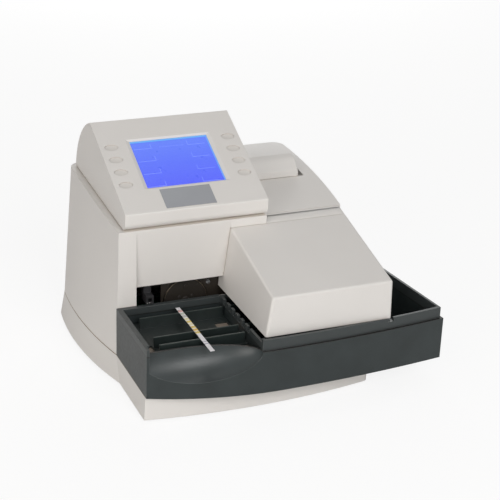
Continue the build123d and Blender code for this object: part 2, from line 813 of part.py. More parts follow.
for name, x in zip(("crank_left", "crank_right"), crank_xs):
    with BuildPart() as crank:
        rod((x, behind(crank_front), crank_z), (x, behind(crank_rear), crank_z), crank_shaft_radius)
        for row in crank_rows:
            y = (behind(row) - eccentric_width / 2, behind(row) + eccentric_width / 2)
            rod((x, y[0], eccentric_z), (x, y[1], eccentric_z), eccentric_radius)
    save(crank, name)

# ---------------------------------------------------------------- chassis, mechanism plate and drive disc
with BuildPart() as chassis_plate:
    block((across(chassis_left), across(chassis_right)), chassis_y, (chassis_bottom, chassis_top))
    for x, y in post_places:
        rod((x, y, chassis_bottom), (x, y, chassis_top), screw_radius, mode=Mode.SUBTRACT)
save(chassis_plate, "chassis_plate")

disc_x = across(disc_across)
disc_z = above(disc_height)
rail_xs = [across(rail_middle + i * rail_spacing / 2) for i in (-1, 1)]
rail_z = above(rail_height)
screw_row_x = across(rail_middle)
plate_screw_points = [(across(x), above(z)) for x, z in plate_screw_places]
with BuildPart() as mechanism_plate:
    block((across(plate_left), across(plate_right)), (plate_y, plate_back), (chassis_top, above(plate_top)))
    block((pillar_right, across(plate_right)), (plate_y, plate_back),
          (above(window_top) + wall, above(plate_top)))
    rod((disc_x, plate_y, disc_z), (disc_x, plate_back, disc_z), disc_shaft_radius + fit, mode=Mode.SUBTRACT)
    for x in rail_xs:
        rod((x, plate_y, rail_z), (x, plate_back, rail_z), rail_radius, mode=Mode.SUBTRACT)
    rod((screw_row_x, plate_y, rail_z), (screw_row_x, plate_back, rail_z), carriage_screw_radius + fit,
        mode=Mode.SUBTRACT)
    for x, z in plate_screw_points:
        rod((x, plate_y, z), (x, plate_back, z), screw_radius, mode=Mode.SUBTRACT)
save(mechanism_plate, "mechanism_plate")

# Slotted screws of the mechanism plate, the chassis and the rear panel, all alike
screw_seats = ([Plane(origin=(x, plate_y, z), x_dir=(1, 0, 0), z_dir=(0, -1, 0))
                for x, z in plate_screw_points]
               + [Plane(origin=(x, y, chassis_top), z_dir=(0, 0, 1)) for x, y in post_places]
               + [Plane(origin=(x, rear, z), x_dir=(1, 0, 0), z_dir=(0, 1, 0)) for x, z in panel_screws])
with BuildPart() as machine_screws:
    for seat in screw_seats:
        with Locations(seat):
            Cylinder(screw_radius, screw_length, align=(Align.CENTER, Align.CENTER, Align.MAX))
            Cylinder(screw_head_radius, screw_head_height, align=(Align.CENTER, Align.CENTER, Align.MIN))
        with Locations(seat.offset(screw_head_height)):
            Box(2 * screw_head_radius, screw_slot, screw_head_height, mode=Mode.SUBTRACT)
save(machine_screws, "machine_screws")

disc_front = plate_y - slip - disc_thickness
with BuildPart() as drive_disc:
    rod((disc_x, disc_front, disc_z), (disc_x, plate_y - slip, disc_z), disc_radius)
    rod((disc_x, disc_front, disc_z), (disc_x, plate_back + motor_bore_depth - slip, disc_z),
        disc_shaft_radius)
    rod((disc_x, disc_front - screw_head_height, disc_z + disc_pin_offset),
        (disc_x, disc_front, disc_z + disc_pin_offset), disc_pin_radius)
save(drive_disc, "drive_disc")


def motor(x, y, z, direction, radius, length, bore):
    """A can motor whose face stands at the point, its shaft bored into the face."""
    step = Vector(*direction)
    face = Vector(x, y, z)
    with BuildPart() as can:
        rod(face, face + step * length, radius)
        rod(face, face + step * motor_bore_depth, bore, mode=Mode.SUBTRACT)
        chamfer(can.edges().filter_by(GeomType.CIRCLE).sort_by(Axis(face, step))[-1], wall / 2)
    return can


save(motor(disc_x, plate_back, disc_z, (0, 1, 0), disc_motor_radius, disc_motor_length,
           disc_shaft_radius + fit), "disc_motor")

# ---------------------------------------------------------------- push bar carriage
slide_rod_zs = [slide_z - slide_rise, slide_z + slide_rise]
slide_top = slide_rod_zs[1] + slide_bracket
slide_bottom = slide_rod_zs[0] - slide_bracket
bracket_x = ((pillar_right, pillar_right + slide_bracket),
             (across(slide_end) - slide_bracket, across(slide_end)))
bracket_front = plate_y - 2 * (plate_y - slide_y) + slip
with BuildPart() as slide_brackets:
    for x_range in bracket_x:
        block(x_range, (bracket_front, plate_y), (slide_bottom, slide_top))
        for z in slide_rod_zs:
            rod((x_range[0], slide_y, z), (x_range[1], slide_y, z), slide_rod_radius, mode=Mode.SUBTRACT)
        rod((x_range[0], slide_y, slide_z), (x_range[1], slide_y, slide_z), slide_screw_radius + fit,
            mode=Mode.SUBTRACT)
save(slide_brackets, "slide_brackets")

with BuildPart() as slide_rods:
    for z in slide_rod_zs:
        rod((bracket_x[0][0], slide_y, z), (bracket_x[1][1], slide_y, z), slide_rod_radius)
save(slide_rods, "slide_rods")

motor_face = pillar_right - wall
with BuildPart() as slide_screw:
    rod((motor_face - motor_bore_depth + slip, slide_y, slide_z), (bracket_x[1][1], slide_y, slide_z),
        slide_screw_radius)
save(slide_screw, "slide_screw")
save(motor(motor_face, slide_y, slide_z, (-1, 0, 0), slide_motor_radius, slide_motor_length,
           slide_screw_radius + fit), "slide_motor")

pusher_x = (across(pusher_left), across(pusher_left + pusher_width))
nose_x = (pusher_x[1] - nose_width, pusher_x[1])
nose_z = (above(nose_bottom), above(nose_bottom + nose_height))
socket_x = ((nose_x[0] + nose_x[1] - socket_side) / 2, (nose_x[0] + nose_x[1] + socket_side) / 2)
socket_z = ((nose_z[0] + nose_z[1] - socket_side) / 2, (nose_z[0] + nose_z[1] + socket_side) / 2)
with BuildPart() as pusher_carriage:
    block(pusher_x, (slide_y - slide_body_depth / 2, slide_y + slide_body_depth / 2),
          (slide_rod_zs[0] - pusher_overhang, slide_rod_zs[1] + pusher_overhang))
    block(nose_x, (behind(arm_front), behind(arm_rear)), (nose_z[0], slide_rod_zs[0]))
    block(nose_x, (behind(nose_front), behind(arm_rear)), nose_z)
    block(socket_x, (behind(nose_front), behind(nose_front + socket_depth)), socket_z, mode=Mode.SUBTRACT)
    for z in slide_rod_zs:
        rod((pusher_x[0], slide_y, z), (pusher_x[1], slide_y, z), slide_rod_radius + fit, mode=Mode.SUBTRACT)
    rod((pusher_x[0], slide_y, slide_z), (pusher_x[1], slide_y, slide_z), slide_screw_radius + fit,
        mode=Mode.SUBTRACT)
save(pusher_carriage, "pusher_carriage")

# ---------------------------------------------------------------- read head carriage
cover_inside = behind(-cover_front) + wall
rail_front = cover_inside + rail_bracket_depth
carriage_x = (across(rail_middle) - carriage_width / 2, across(rail_middle) + carriage_width / 2)
carriage_y = (behind(carriage_home) - carriage_length / 2, behind(carriage_home) + carriage_length / 2)
carriage_z = (rail_z - carriage_height / 2, rail_z + carriage_height / 2)
with BuildPart() as rail_bracket:
    block(carriage_x, (cover_inside, rail_front), carriage_z)
    for x in rail_xs:
        rod((x, cover_inside, rail_z), (x, rail_front, rail_z), rail_radius, mode=Mode.SUBTRACT)
    rod((screw_row_x, cover_inside, rail_z), (screw_row_x, rail_front, rail_z), carriage_screw_radius + fit,
        mode=Mode.SUBTRACT)
save(rail_bracket, "rail_bracket")

with BuildPart() as carriage_rails:
    for x in rail_xs:
        rod((x, cover_inside, rail_z), (x, plate_back, rail_z), rail_radius)
save(carriage_rails, "carriage_rails")

with BuildPart() as carriage_screw:
    rod((screw_row_x, cover_inside + slip, rail_z),
        (screw_row_x, plate_back + motor_bore_depth - slip, rail_z), carriage_screw_radius)
save(carriage_screw, "carriage_screw")
save(motor(screw_row_x, plate_back, rail_z, (0, 1, 0), carriage_motor_radius, carriage_motor_length,
           carriage_screw_radius + fit), "carriage_motor")

lens_y = behind(carriage_home)
with BuildPart() as read_head_carriage:
    block(carriage_x, carriage_y, carriage_z)
    chamfer(read_head_carriage.edges().filter_by(Axis.Y).group_by(Axis.Z)[-1], wall / 2)
    for x in rail_xs:
        rod((x, carriage_y[0], rail_z), (x, carriage_y[1], rail_z), rail_radius + fit, mode=Mode.SUBTRACT)
    rod((screw_row_x, carriage_y[0], rail_z), (screw_row_x, carriage_y[1], rail_z),
        carriage_screw_radius + fit, mode=Mode.SUBTRACT)
save(read_head_carriage, "read_head_carriage")

with BuildPart() as lamp_board:
    block((screw_row_x - lamp_board_width / 2, screw_row_x + lamp_board_width / 2),
          (lens_y - lamp_board_length / 2, lens_y + lamp_board_length / 2),
          (carriage_z[0] - board_thickness, carriage_z[0]))
    rod((screw_row_x, lens_y, carriage_z[0] - board_thickness), (screw_row_x, lens_y, carriage_z[0]),
        lens_radius, mode=Mode.SUBTRACT)
save(lamp_board, "lamp_board")

with BuildPart() as read_head_lens:
    rod((screw_row_x, lens_y, carriage_z[0] - lens_drop), (screw_row_x, lens_y, carriage_z[0]), lens_radius)
    chamfer(read_head_lens.edges().group_by(Axis.Z)[0], wall / 3)
save(read_head_lens, "read_head_lens")

# ---------------------------------------------------------------- display head
head_rise = head_apex_height - head_lip_top
head_run = head_apex_depth - head_lip_front
slope = Plane(origin=(head_middle, behind(head_lip_front), above(head_lip_top)), x_dir=(1, 0, 0),
              z_dir=(0, -head_rise, head_run))
screen_x = (screen_shift - screen_width / 2, screen_shift + screen_width / 2)
screen_up = (screen_up_slope, screen_up_slope + screen_height)
screen_x_outer = (screen_x[0] - screen_border_side, screen_x[1] + screen_border_side)
screen_up_outer = (screen_up[0] - screen_border_end, screen_up[1] + screen_border_end)
glass_x = (screen_x[0] - glass_overlap, screen_x[1] + glass_overlap)
glass_up = (screen_up[0] - glass_overlap, screen_up[1] + glass_overlap)
lcd_depth = screen_recess + glass_thickness


def on_slope(x_range, up_range, depth_range, mode=Mode.ADD):
    """A box under the sloping face: across it, up it, and down into it."""
    with Locations(slope):
        with Locations((sum(x_range) / 2, sum(up_range) / 2, -sum(depth_range) / 2)):
            Box(x_range[1] - x_range[0], up_range[1] - up_range[0], depth_range[1] - depth_range[0],
                mode=mode)


def slope_rectangle(x_range, up_range, depth):
    """A rectangle in the sloping face, sunk into it by depth."""
    with BuildSketch(slope.offset(-depth)) as patch:
        with Locations((sum(x_range) / 2, sum(up_range) / 2)):
            Rectangle(x_range[1] - x_range[0], up_range[1] - up_range[0])
    return patch.sketch


def head_profile(x, inset=0.0):
    """Side outline of the display head, moved in by inset."""
    with BuildSketch(Plane.YZ.offset(x)) as profile:
        with BuildLine():
            Polyline((behind(head_apex_depth), above(head_apex_height)),
                     (behind(head_lip_front), above(head_lip_top)), (behind(head_lip_back), above(head_lip_bottom)),
                     (behind(head_rear), above(head_rear_bottom)))
            ThreePointArc((behind(head_rear), above(head_rear_bottom)),
                          (behind(head_bulge_depth), above(head_bulge_height)),
                          (behind(head_apex_depth), above(head_apex_height)))
        make_face()
        if inset:
            offset(amount=-inset, kind=Kind.INTERSECTION)
    return profile.sketch


def key_at(side, row):
    """Middle of a key on the sloping face; side is -1 on the left and 1 on the right."""
    return (side * key_spread / 2, key_first + row * key_pitch)


key_places = {f"key_{word}_{row + 1}": key_at(side, row) for side, word in ((-1, "left"), (1, "right"))
              for row in range(key_rows)}
key_strip_up = (key_first - key_pitch / 2 - keypad_post,
                key_first + (key_rows - 0.5) * key_pitch + keypad_post)

with BuildPart() as head_block:
    extrude(head_profile(across(head_left)), amount=head_width)
    fillet(head_block.edges().filter_by(Axis.X).sort_by_distance(slope.origin)[0], head_round)
    fillet(head_block.edges().filter_by(Axis.X).group_by(Axis.Z)[0], chin_round)
with BuildPart() as head_inside:
    extrude(head_profile(across(head_left) + head_wall, inset=head_wall), amount=head_width - 2 * head_wall)
    fillet(head_inside.edges().filter_by(Axis.X).group_by(Axis.Z)[0], chin_round - head_wall)
base_y = (head_lip_back + chin_round + head_wall, head_rear - 3 * head_wall)


def head_floor(low, high):
    """A slab of the display head's floor; low and high are drops below its underside."""
    x = across(head_left) + head_wall
    points = [(behind(y), head_seat_height(y, drop)) for y, drop in
              ((base_y[0], low), (base_y[1], low), (base_y[1], high), (base_y[0], high))]
    return extrude(side_profile(x, points), amount=head_width - 2 * head_wall, mode=Mode.PRIVATE)


with BuildPart() as screen_mouth:
    add(slope_rectangle(screen_x_outer, screen_up_outer, 0))
    add(slope_rectangle(screen_x, screen_up, screen_recess - screen_land))
    loft(ruled=True)
with BuildPart() as display_shell:
    add(head_block.part)
    add(head_inside.part, mode=Mode.SUBTRACT)
    add(head_floor(head_wall, -2 * head_wall), mode=Mode.SUBTRACT)
    add(screen_mouth.part, mode=Mode.SUBTRACT)
    on_slope(screen_x, screen_up, (0, 2 * head_wall), mode=Mode.SUBTRACT)
    on_slope(glass_x, glass_up, (screen_recess, 2 * head_wall), mode=Mode.SUBTRACT)
    for x, up in key_places.values():
        with BuildSketch(slope):
            with Locations((x, up)):
                Ellipse(key_length / 2, key_height / 2)
        extrude(amount=-2 * head_wall, mode=Mode.SUBTRACT)
    # posts that carry the key boards
    for side in (-1, 1):
        for up in key_strip_up:
            on_slope(tuple(side * key_spread / 2 + i * keypad_width / 2 for i in (-1, 1)),
                     (up - keypad_post, up + keypad_post), (head_wall, keypad_depth))
save(display_shell, "display_shell")

# Floor of the head, with the foot that stands on the housing and leaves a dark gap all round
with BuildPart() as display_base:
    add(head_floor(shadow_gap, -head_wall))
    rod((head_middle, behind(cable_row), above(crown_front_height)),
        (head_middle, behind(cable_row), above(crown_rear_height + wall)), cable_hole, mode=Mode.SUBTRACT)
save(display_base, "display_base")

with BuildPart() as screen_window:
    on_slope(glass_x, glass_up, (screen_recess, lcd_depth))
save(screen_window, "screen_window")

with BuildPart() as lcd_module:
    on_slope((screen_x[0] - lcd_margin, screen_x[1] + lcd_margin),
             (screen_up[0] - lcd_margin, screen_up[1] + lcd_margin), (lcd_depth, lcd_depth + lcd_thickness))
save(lcd_module, "lcd_module")

with BuildPart() as keypad_board:
    for side in (-1, 1):
        on_slope(tuple(side * key_spread / 2 + i * keypad_width / 2 for i in (-1, 1)),
                 (key_strip_up[0] - keypad_post, key_strip_up[1] + keypad_post),
                 (keypad_depth, keypad_depth + board_thickness))
save(keypad_board, "keypad_board")

for name, (x, up) in key_places.items():
    with BuildPart() as key:
        with BuildSketch(slope.offset(-key_sink)):
            with Locations((x, up)):
                Ellipse(key_length / 2 - key_gap, key_height / 2 - key_gap)
        extrude(amount=key_sink - head_wall - slip)
        with BuildSketch(slope.offset(-head_wall - slip)):
            with Locations((x, up)):
                Ellipse(key_length / 2 + key_flange, key_height / 2 + key_flange)
        extrude(amount=-key_flange)
        with BuildSketch(slope.offset(-head_wall - slip - key_flange)):
            with Locations((x, up)):
                Circle(key_stem)
        extrude(amount=head_wall + slip + key_flange + key_room - keypad_depth)
        dish_radius = (key_length ** 2 / 4 + key_dish ** 2) / (2 * key_dish)
        with Locations(slope.offset(dish_radius - key_dish - key_sink)):
            with Locations((x, up)):
                Sphere(dish_radius, mode=Mode.SUBTRACT)
    save(key, name)

with BuildPart() as label_plate:
    on_slope((label_shift - label_width / 2, label_shift + label_width / 2),
             (label_up_slope, label_up_slope + label_height), (-label_thickness, 0))
save(label_plate, "label_plate")

# ---------------------------------------------------------------- printer
frame_z = (above(frame_bottom), above(frame_top))
frame_inside_x = (bay_x[0] + frame_wall, bay_x[1] - frame_wall)
frame_inside_y = (bay_y[0] + frame_wall, bay_y[1] - frame_wall)
lid_x = (across(lid_left), across(lid_left + lid_width))
hinge_y = rear - hinge_from_rear
hinge_z = above(hinge_height)
roll_y = rear - roll_from_rear
roll_z = above(roll_height)
roll_x = (sum(lid_x) / 2 - roll_width / 2, sum(lid_x) / 2 + roll_width / 2)
platen_y = rear - platen_from_rear
platen_z = above(platen_height)
lid_y = (rear - lid_front_from_rear, rear - lid_back_from_rear)
spindle_radius = roll_core_radius - fit
with BuildPart() as printer_frame:
    block(bay_x, bay_y, frame_z)
    block(frame_inside_x, frame_inside_y, (frame_z[0] + frame_wall, frame_z[1]), mode=Mode.SUBTRACT)
    # ears of the lid's hinge pin
    for x in (bay_x[0], frame_inside_x[1]):
        block((x, x + frame_wall), (hinge_y - knuckle_radius, hinge_y + knuckle_radius),
              (frame_z[0], hinge_z))
        rod((x, hinge_y, hinge_z), (x + frame_wall, hinge_y, hinge_z), knuckle_radius)
    # rests under the lid's front corners
    for x in (lid_x[0], lid_x[1] - knuckle_width):
        block((x, x + knuckle_width), (bay_y[0], lid_y[0] + lid_wall), (frame_z[0], above(lid_skirt)))
    # open slots for the paper spindle
    block(bay_x, (roll_y - spindle_radius, roll_y + spindle_radius), (roll_z, frame_z[1]), mode=Mode.SUBTRACT)
    rod((bay_x[0], roll_y, roll_z), (bay_x[1], roll_y, roll_z), spindle_radius, mode=Mode.SUBTRACT)
    rod((bay_x[0], platen_y, platen_z), (bay_x[1], platen_y, platen_z), platen_shaft_radius + fit,
        mode=Mode.SUBTRACT)
    rod((bay_x[0], hinge_y, hinge_z), (bay_x[1], hinge_y, hinge_z), hinge_pin_radius, mode=Mode.SUBTRACT)
save(printer_frame, "printer_frame")

with BuildPart() as lid_hinge_pin:
    rod((bay_x[0], hinge_y, hinge_z), (bay_x[1], hinge_y, hinge_z), hinge_pin_radius)
save(lid_hinge_pin, "lid_hinge_pin")

with BuildPart() as paper_spindle:
    rod((bay_x[0], roll_y, roll_z), (bay_x[1], roll_y, roll_z), spindle_radius)
save(paper_spindle, "paper_spindle")

with BuildPart() as paper_roll:
    rod((roll_x[0], roll_y, roll_z), (roll_x[1], roll_y, roll_z), roll_radius)
    rod((roll_x[0], roll_y, roll_z), (roll_x[1], roll_y, roll_z), roll_core_radius, mode=Mode.SUBTRACT)
save(paper_roll, "paper_roll")

with BuildPart() as platen_roller:
    rod((roll_x[0], platen_y, platen_z), (roll_x[1], platen_y, platen_z), platen_radius)
    rod((bay_x[0] + slip, platen_y, platen_z), (bay_x[1] - slip, platen_y, platen_z), platen_shaft_radius)
save(platen_roller, "platen_roller")

head_front = platen_y + platen_radius + print_head_gap
with BuildPart() as print_head:
    block(frame_inside_x, (head_front, head_front + print_head_depth),
          (platen_z - print_head_depth, platen_z + platen_radius))
    chamfer(print_head.edges().filter_by(Axis.X).group_by(Axis.Z)[-1], frame_wall)
save(print_head, "print_head")

tooth_count = round(roll_width / tear_tooth)
with BuildPart() as tear_bar:
    tear_y = frame_inside_y[0]
    with BuildSketch(Plane.XZ.offset(-tear_y)):
        with BuildLine():
            Polyline(*[(roll_x[0] + i * tear_tooth / 2,
                        frame_z[1] + (tear_tooth if i % 2 else tear_tooth / 2))
                       for i in range(2 * tooth_count + 1)],
                     (roll_x[0] + tooth_count * tear_tooth, frame_z[1] - tear_bar_height),
                     (roll_x[0], frame_z[1] - tear_bar_height), close=True)
        make_face()
    extrude(amount=-tear_bar_thickness)
save(tear_bar, "tear_bar")

lid_brow = (rear - lid_brow_from_rear, above(lid_brow_height))
lid_bend = [(lid_y[0], above(lid_nose_height)), lid_brow,
            (rear - lid_top_from_rear, above(lid_top_height)),
            (rear - lid_slope_from_rear, above(lid_back_height)), (lid_y[1], above(lid_rear_height))]
lid_points = [(lid_y[0], above(lid_skirt)), *lid_bend, (lid_y[1], above(lid_skirt))]
lid_inside = [(lid_y[0], above(lid_skirt - 3 * lid_wall)), *lid_bend,
              (lid_y[1], above(lid_skirt - 3 * lid_wall))]
with BuildPart() as lid_hollow:
    with BuildSketch(Plane.YZ.offset(lid_x[0] + lid_wall)):
        with BuildLine():
            Polyline(*lid_inside, close=True)
        make_face()
        offset(amount=-lid_wall, kind=Kind.INTERSECTION)
    extrude(amount=lid_width - 2 * lid_wall)
with BuildPart() as printer_lid:
    extrude(side_profile(lid_x[0], lid_points), amount=lid_width)
    brow_edges = printer_lid.edges().filter_by(Axis.X).sort_by_distance((sum(lid_x) / 2, *lid_brow))
    fillet(brow_edges[0], lid_brow_round)
    top_faces = printer_lid.faces().filter_by(lambda face: face.normal_at().Z > 0.1)
    high_edges = [edge for edge in printer_lid.edges().filter_by(Axis.X)
                  if edge.center().Z > above(lid_nose_height) - wall
                  and abs(edge.center().Y - lid_brow[0]) > lid_brow_round / 3]
    fillet(high_edges + [edge for edge in top_faces.edges() if abs(edge.tangent_at(0.5).X) < 0.1], lid_round)
    add(lid_hollow.part, mode=Mode.SUBTRACT)
    for x in (lid_x[0] + lid_wall, lid_x[1] - lid_wall - knuckle_width):
        rod((x, hinge_y, hinge_z), (x + knuckle_width, hinge_y, hinge_z), knuckle_radius)
        block((x, x + knuckle_width), (hinge_y - knuckle_radius, lid_y[1] - lid_wall / 2),
              (hinge_z, above(lid_rear_height) - lid_wall))
    rod((lid_x[0], hinge_y, hinge_z), (lid_x[1], hinge_y, hinge_z), hinge_pin_radius + fit,
        mode=Mode.SUBTRACT)
save(printer_lid, "printer_lid")

# ---------------------------------------------------------------- electronics
board_x = (across(main_board_left), across(main_board_left + main_board_width))
board_y = (behind(main_board_front), rear - main_board_from_rear)
board_bottom = chassis_top + standoff_height
with BuildPart() as board_standoffs:
    for x in (board_x[0] + 2 * standoff_radius, board_x[1] - 2 * standoff_radius):
        for y in (board_y[0] + 2 * standoff_radius, board_y[1] - 2 * standoff_radius):
            rod((x, y, chassis_top), (x, y, board_bottom), standoff_radius)
save(board_standoffs, "board_standoffs")

with BuildPart() as main_board:
    block(board_x, board_y, (board_bottom, board_bottom + board_thickness))
    board_top = board_bottom + board_thickness
    for i, size in enumerate(chip_sizes):
        x = board_x[0] + chip_pitch * (i + 1)
        block((x - size / 2, x + size / 2), (sum(board_y) / 2 - size / 2, sum(board_y) / 2 + size / 2),
              (board_top, board_top + chip_height))
save(main_board, "main_board")

supply_x = (across(supply_left), across(supply_left + supply_width))
supply_y = (behind(supply_front), rear - supply_from_rear)
with BuildPart() as power_supply:
    block(supply_x, supply_y, (chassis_top, chassis_top + supply_height))
    chamfer(power_supply.edges().group_by(Axis.Z)[-1], wall / 2)
save(power_supply, "power_supply")

# ---------------------------------------------------------------- rear panel, mains inlet, switch and ports
connector_z = above(connector_height)
inlet_x = housing_middle - inlet_across
switch_x = housing_middle - switch_across
port_sizes = ((housing_middle - serial_across, serial_width),
              (housing_middle - parallel_across, parallel_width))
panel_front = rear - rear_panel_thickness
pivot_y = rear - rocker_depth
frame_half = (rocker_width / 2 + slip + switch_frame, rocker_radius + slip + switch_frame)


def centred(x, width):
    """Two limits of a width about a middle."""
    return (x - width / 2, x + width / 2)


with BuildPart() as rear_panel:
    block(panel_x, (panel_front, rear), panel_z)
    block(centred(inlet_x, inlet_width), (panel_front, rear), centred(connector_z, inlet_height),
          mode=Mode.SUBTRACT)
    block(centred(switch_x, 2 * frame_half[0]), (panel_front, rear), centred(connector_z, 2 * frame_half[1]),
          mode=Mode.SUBTRACT)
    for x, width in port_sizes:
        block(centred(x, width), (panel_front, rear), centred(connector_z, port_height), mode=Mode.SUBTRACT)
    for x, z in panel_screws:
        rod((x, panel_front, z), (x, rear, z), screw_radius, mode=Mode.SUBTRACT)
save(rear_panel, "rear_panel")

with BuildPart() as mains_inlet:
    block(centred(inlet_x, inlet_width), (rear - inlet_depth, rear), centred(connector_z, inlet_height))
    block(centred(inlet_x, inlet_width + 2 * inlet_flange), (rear, rear + flange_proud),
          centred(connector_z, inlet_height + 2 * inlet_flange))
    inlet_floor = rear - inlet_depth + 2 * inlet_wall
    with BuildSketch(Plane.XZ.offset(-inlet_floor)):
        with Locations((inlet_x, connector_z)):
            mouth = Rectangle(inlet_width - 2 * inlet_wall, inlet_height - 2 * inlet_wall)
        chamfer(mouth.vertices().group_by(Axis.Z)[-1], inlet_flange)
    extrude(amount=-inlet_depth, mode=Mode.SUBTRACT)
    for i in (-1, 0, 1):
        block(centred(inlet_x + i * inlet_pin_pitch, inlet_pin_width),
              (rear - inlet_depth, rear - inlet_wall),
              centred(connector_z + (inlet_pin_width if i == 0 else 0), inlet_pin_height))
save(mains_inlet, "mains_inlet")

with BuildPart() as power_switch_frame:
    block(centred(switch_x, 2 * frame_half[0]), (rear - switch_depth, rear),
          centred(connector_z, 2 * frame_half[1]))
    block(centred(switch_x, 2 * (frame_half[0] + flange_proud)), (rear, rear + flange_proud),
          centred(connector_z, 2 * (frame_half[1] + flange_proud)))
    cavity_x = centred(switch_x, rocker_width + 2 * slip)
    pin_x = (cavity_x[0] - flange_proud, cavity_x[1] + flange_proud)
    rod((cavity_x[0], pivot_y, connector_z), (cavity_x[1], pivot_y, connector_z), rocker_radius + slip,
        mode=Mode.SUBTRACT)
    block(cavity_x, (pivot_y, rear + 2 * flange_proud), centred(connector_z, 2 * (rocker_radius + slip)),
          mode=Mode.SUBTRACT)
    rod((pin_x[0], pivot_y, connector_z), (pin_x[1], pivot_y, connector_z), rocker_pin_radius + fit,
        mode=Mode.SUBTRACT)
save(power_switch_frame, "power_switch_frame")

with BuildPart() as power_rocker:
    with BuildSketch(Plane.YZ.offset(switch_x - rocker_width / 2)):
        with Locations((pivot_y, connector_z)):
            Circle(rocker_radius)
            edge_z = math.sqrt(rocker_radius ** 2 - rocker_edge ** 2)
            Polygon((-rocker_edge, -rocker_radius), (rocker_edge, -edge_z), (rocker_middle, 0),
                    (rocker_edge, edge_z), (-rocker_edge, rocker_radius), rotation=rocker_swing, align=None,
                    mode=Mode.INTERSECT)
    extrude(amount=rocker_width)
    rod((pin_x[0], pivot_y, connector_z), (pin_x[1], pivot_y, connector_z), rocker_pin_radius)
save(power_rocker, "power_rocker")

with BuildPart() as data_ports:
    for x, width in port_sizes:
        block(centred(x, width), (rear - port_proud, rear), centred(connector_z, port_height))
        block(centred(x, width + 2 * port_flange), (rear, rear + port_plate),
              centred(connector_z, port_height + port_proud))
        with BuildSketch(Plane.XZ.offset(-rear)):
            with Locations((x, connector_z)):
                Trapezoid(width, port_height, 80, rotation=180)
        extrude(amount=-port_proud)
save(data_ports, "data_ports")
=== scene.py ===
"""Looks of the bench urine analyzer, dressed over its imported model."""
import json
import math
import bmesh
import bpy
from mathutils import Matrix, Vector


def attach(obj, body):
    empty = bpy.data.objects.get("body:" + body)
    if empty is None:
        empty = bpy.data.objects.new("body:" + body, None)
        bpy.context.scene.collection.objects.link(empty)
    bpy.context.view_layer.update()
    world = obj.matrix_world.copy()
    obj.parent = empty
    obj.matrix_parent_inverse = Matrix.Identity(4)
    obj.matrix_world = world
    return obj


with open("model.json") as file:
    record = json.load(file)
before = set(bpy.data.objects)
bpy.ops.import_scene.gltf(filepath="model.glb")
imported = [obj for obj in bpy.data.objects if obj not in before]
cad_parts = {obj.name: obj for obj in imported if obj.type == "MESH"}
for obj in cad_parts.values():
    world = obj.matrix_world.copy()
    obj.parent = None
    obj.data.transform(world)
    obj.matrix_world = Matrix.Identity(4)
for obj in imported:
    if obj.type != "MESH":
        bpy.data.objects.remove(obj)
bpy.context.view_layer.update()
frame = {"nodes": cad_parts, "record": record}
nodes = frame["nodes"]
MM = 0.001


# ---------------------------------------------------------------- places, in mm in the row frame
def across(x):
    return x - 166.4


def behind(y):
    return y - 139.0


def above(z):
    return z + 3.0


def in_tray(z):
    return z + 31.8


SEAM = 31.5                        # top of the base
FACE = Vector((-70.95, -38.0, 203.8))      # middle of the display head's lower edge
RISE = math.atan2(64.3, 135.4)
UP_SLOPE = Vector((0, math.cos(RISE), math.sin(RISE)))
OUT_OF_SLOPE = Vector((0, -math.sin(RISE), math.cos(RISE)))
SCREEN_X = (-47.2, 48.0)
SCREEN_UP = (40.1, 115.4)
KEY_UP = [45.7 + 20.2 * i for i in range(4)]
LCD_DEPTH = 3.8
MIDDLE = -23.3                     # the housing's middle
REAR = 167.5
CONNECTOR_Z = above(66.0)
INLET_X = MIDDLE - 70.0
SWITCH_X = MIDDLE - 32.0
PORTS = ((MIDDLE + 14.0, 17.0), (MIDDLE + 62.0, 39.0))
DISC = Vector((-76.9, -17.7, 81.0))        # middle of the drive disc's front face
DISC_RADIUS = 26.5
STRIP_END = behind(93.0)
PAD_FIRST = 7.7
PAD_PITCH = 7.0
PAD_COUNT = 9
LENS = Vector((44.6, -55.0, 116.9))        # lens axis at the lamp board's underside


ROLL_AXIS = (behind(241.0), above(161.0))
STRIP_TOP = 86.45                  # the pads' tops lie above this height
PIN_PITCH = 7.0                    # mains inlet's blades
CONTACT_PITCH = 2.77               # contacts of the ports
RING_STEPS = 96

# camera of the photograph, and its lens in mm
CAMERA_TURNS = (-23.301, 23.411, 2.216)    # azimuth, elevation and roll in degrees
CAMERA_PLACE = Vector((-590.038, -1394.036, 782.192))
CAMERA_LENS = 100.23
SENSOR = 36.0
FLOOR_SHARE = 0.80                 # of the floor's own white that the camera sees
FLOOR_GLOW = 1.06
WORLD_FILL = 0.28
LAMP_TARGET = Vector((0, 0, 0.12))


def on_slope(x, up, depth):
    return FACE + Vector((x, 0, 0)) + UP_SLOPE * up - OUT_OF_SLOPE * depth


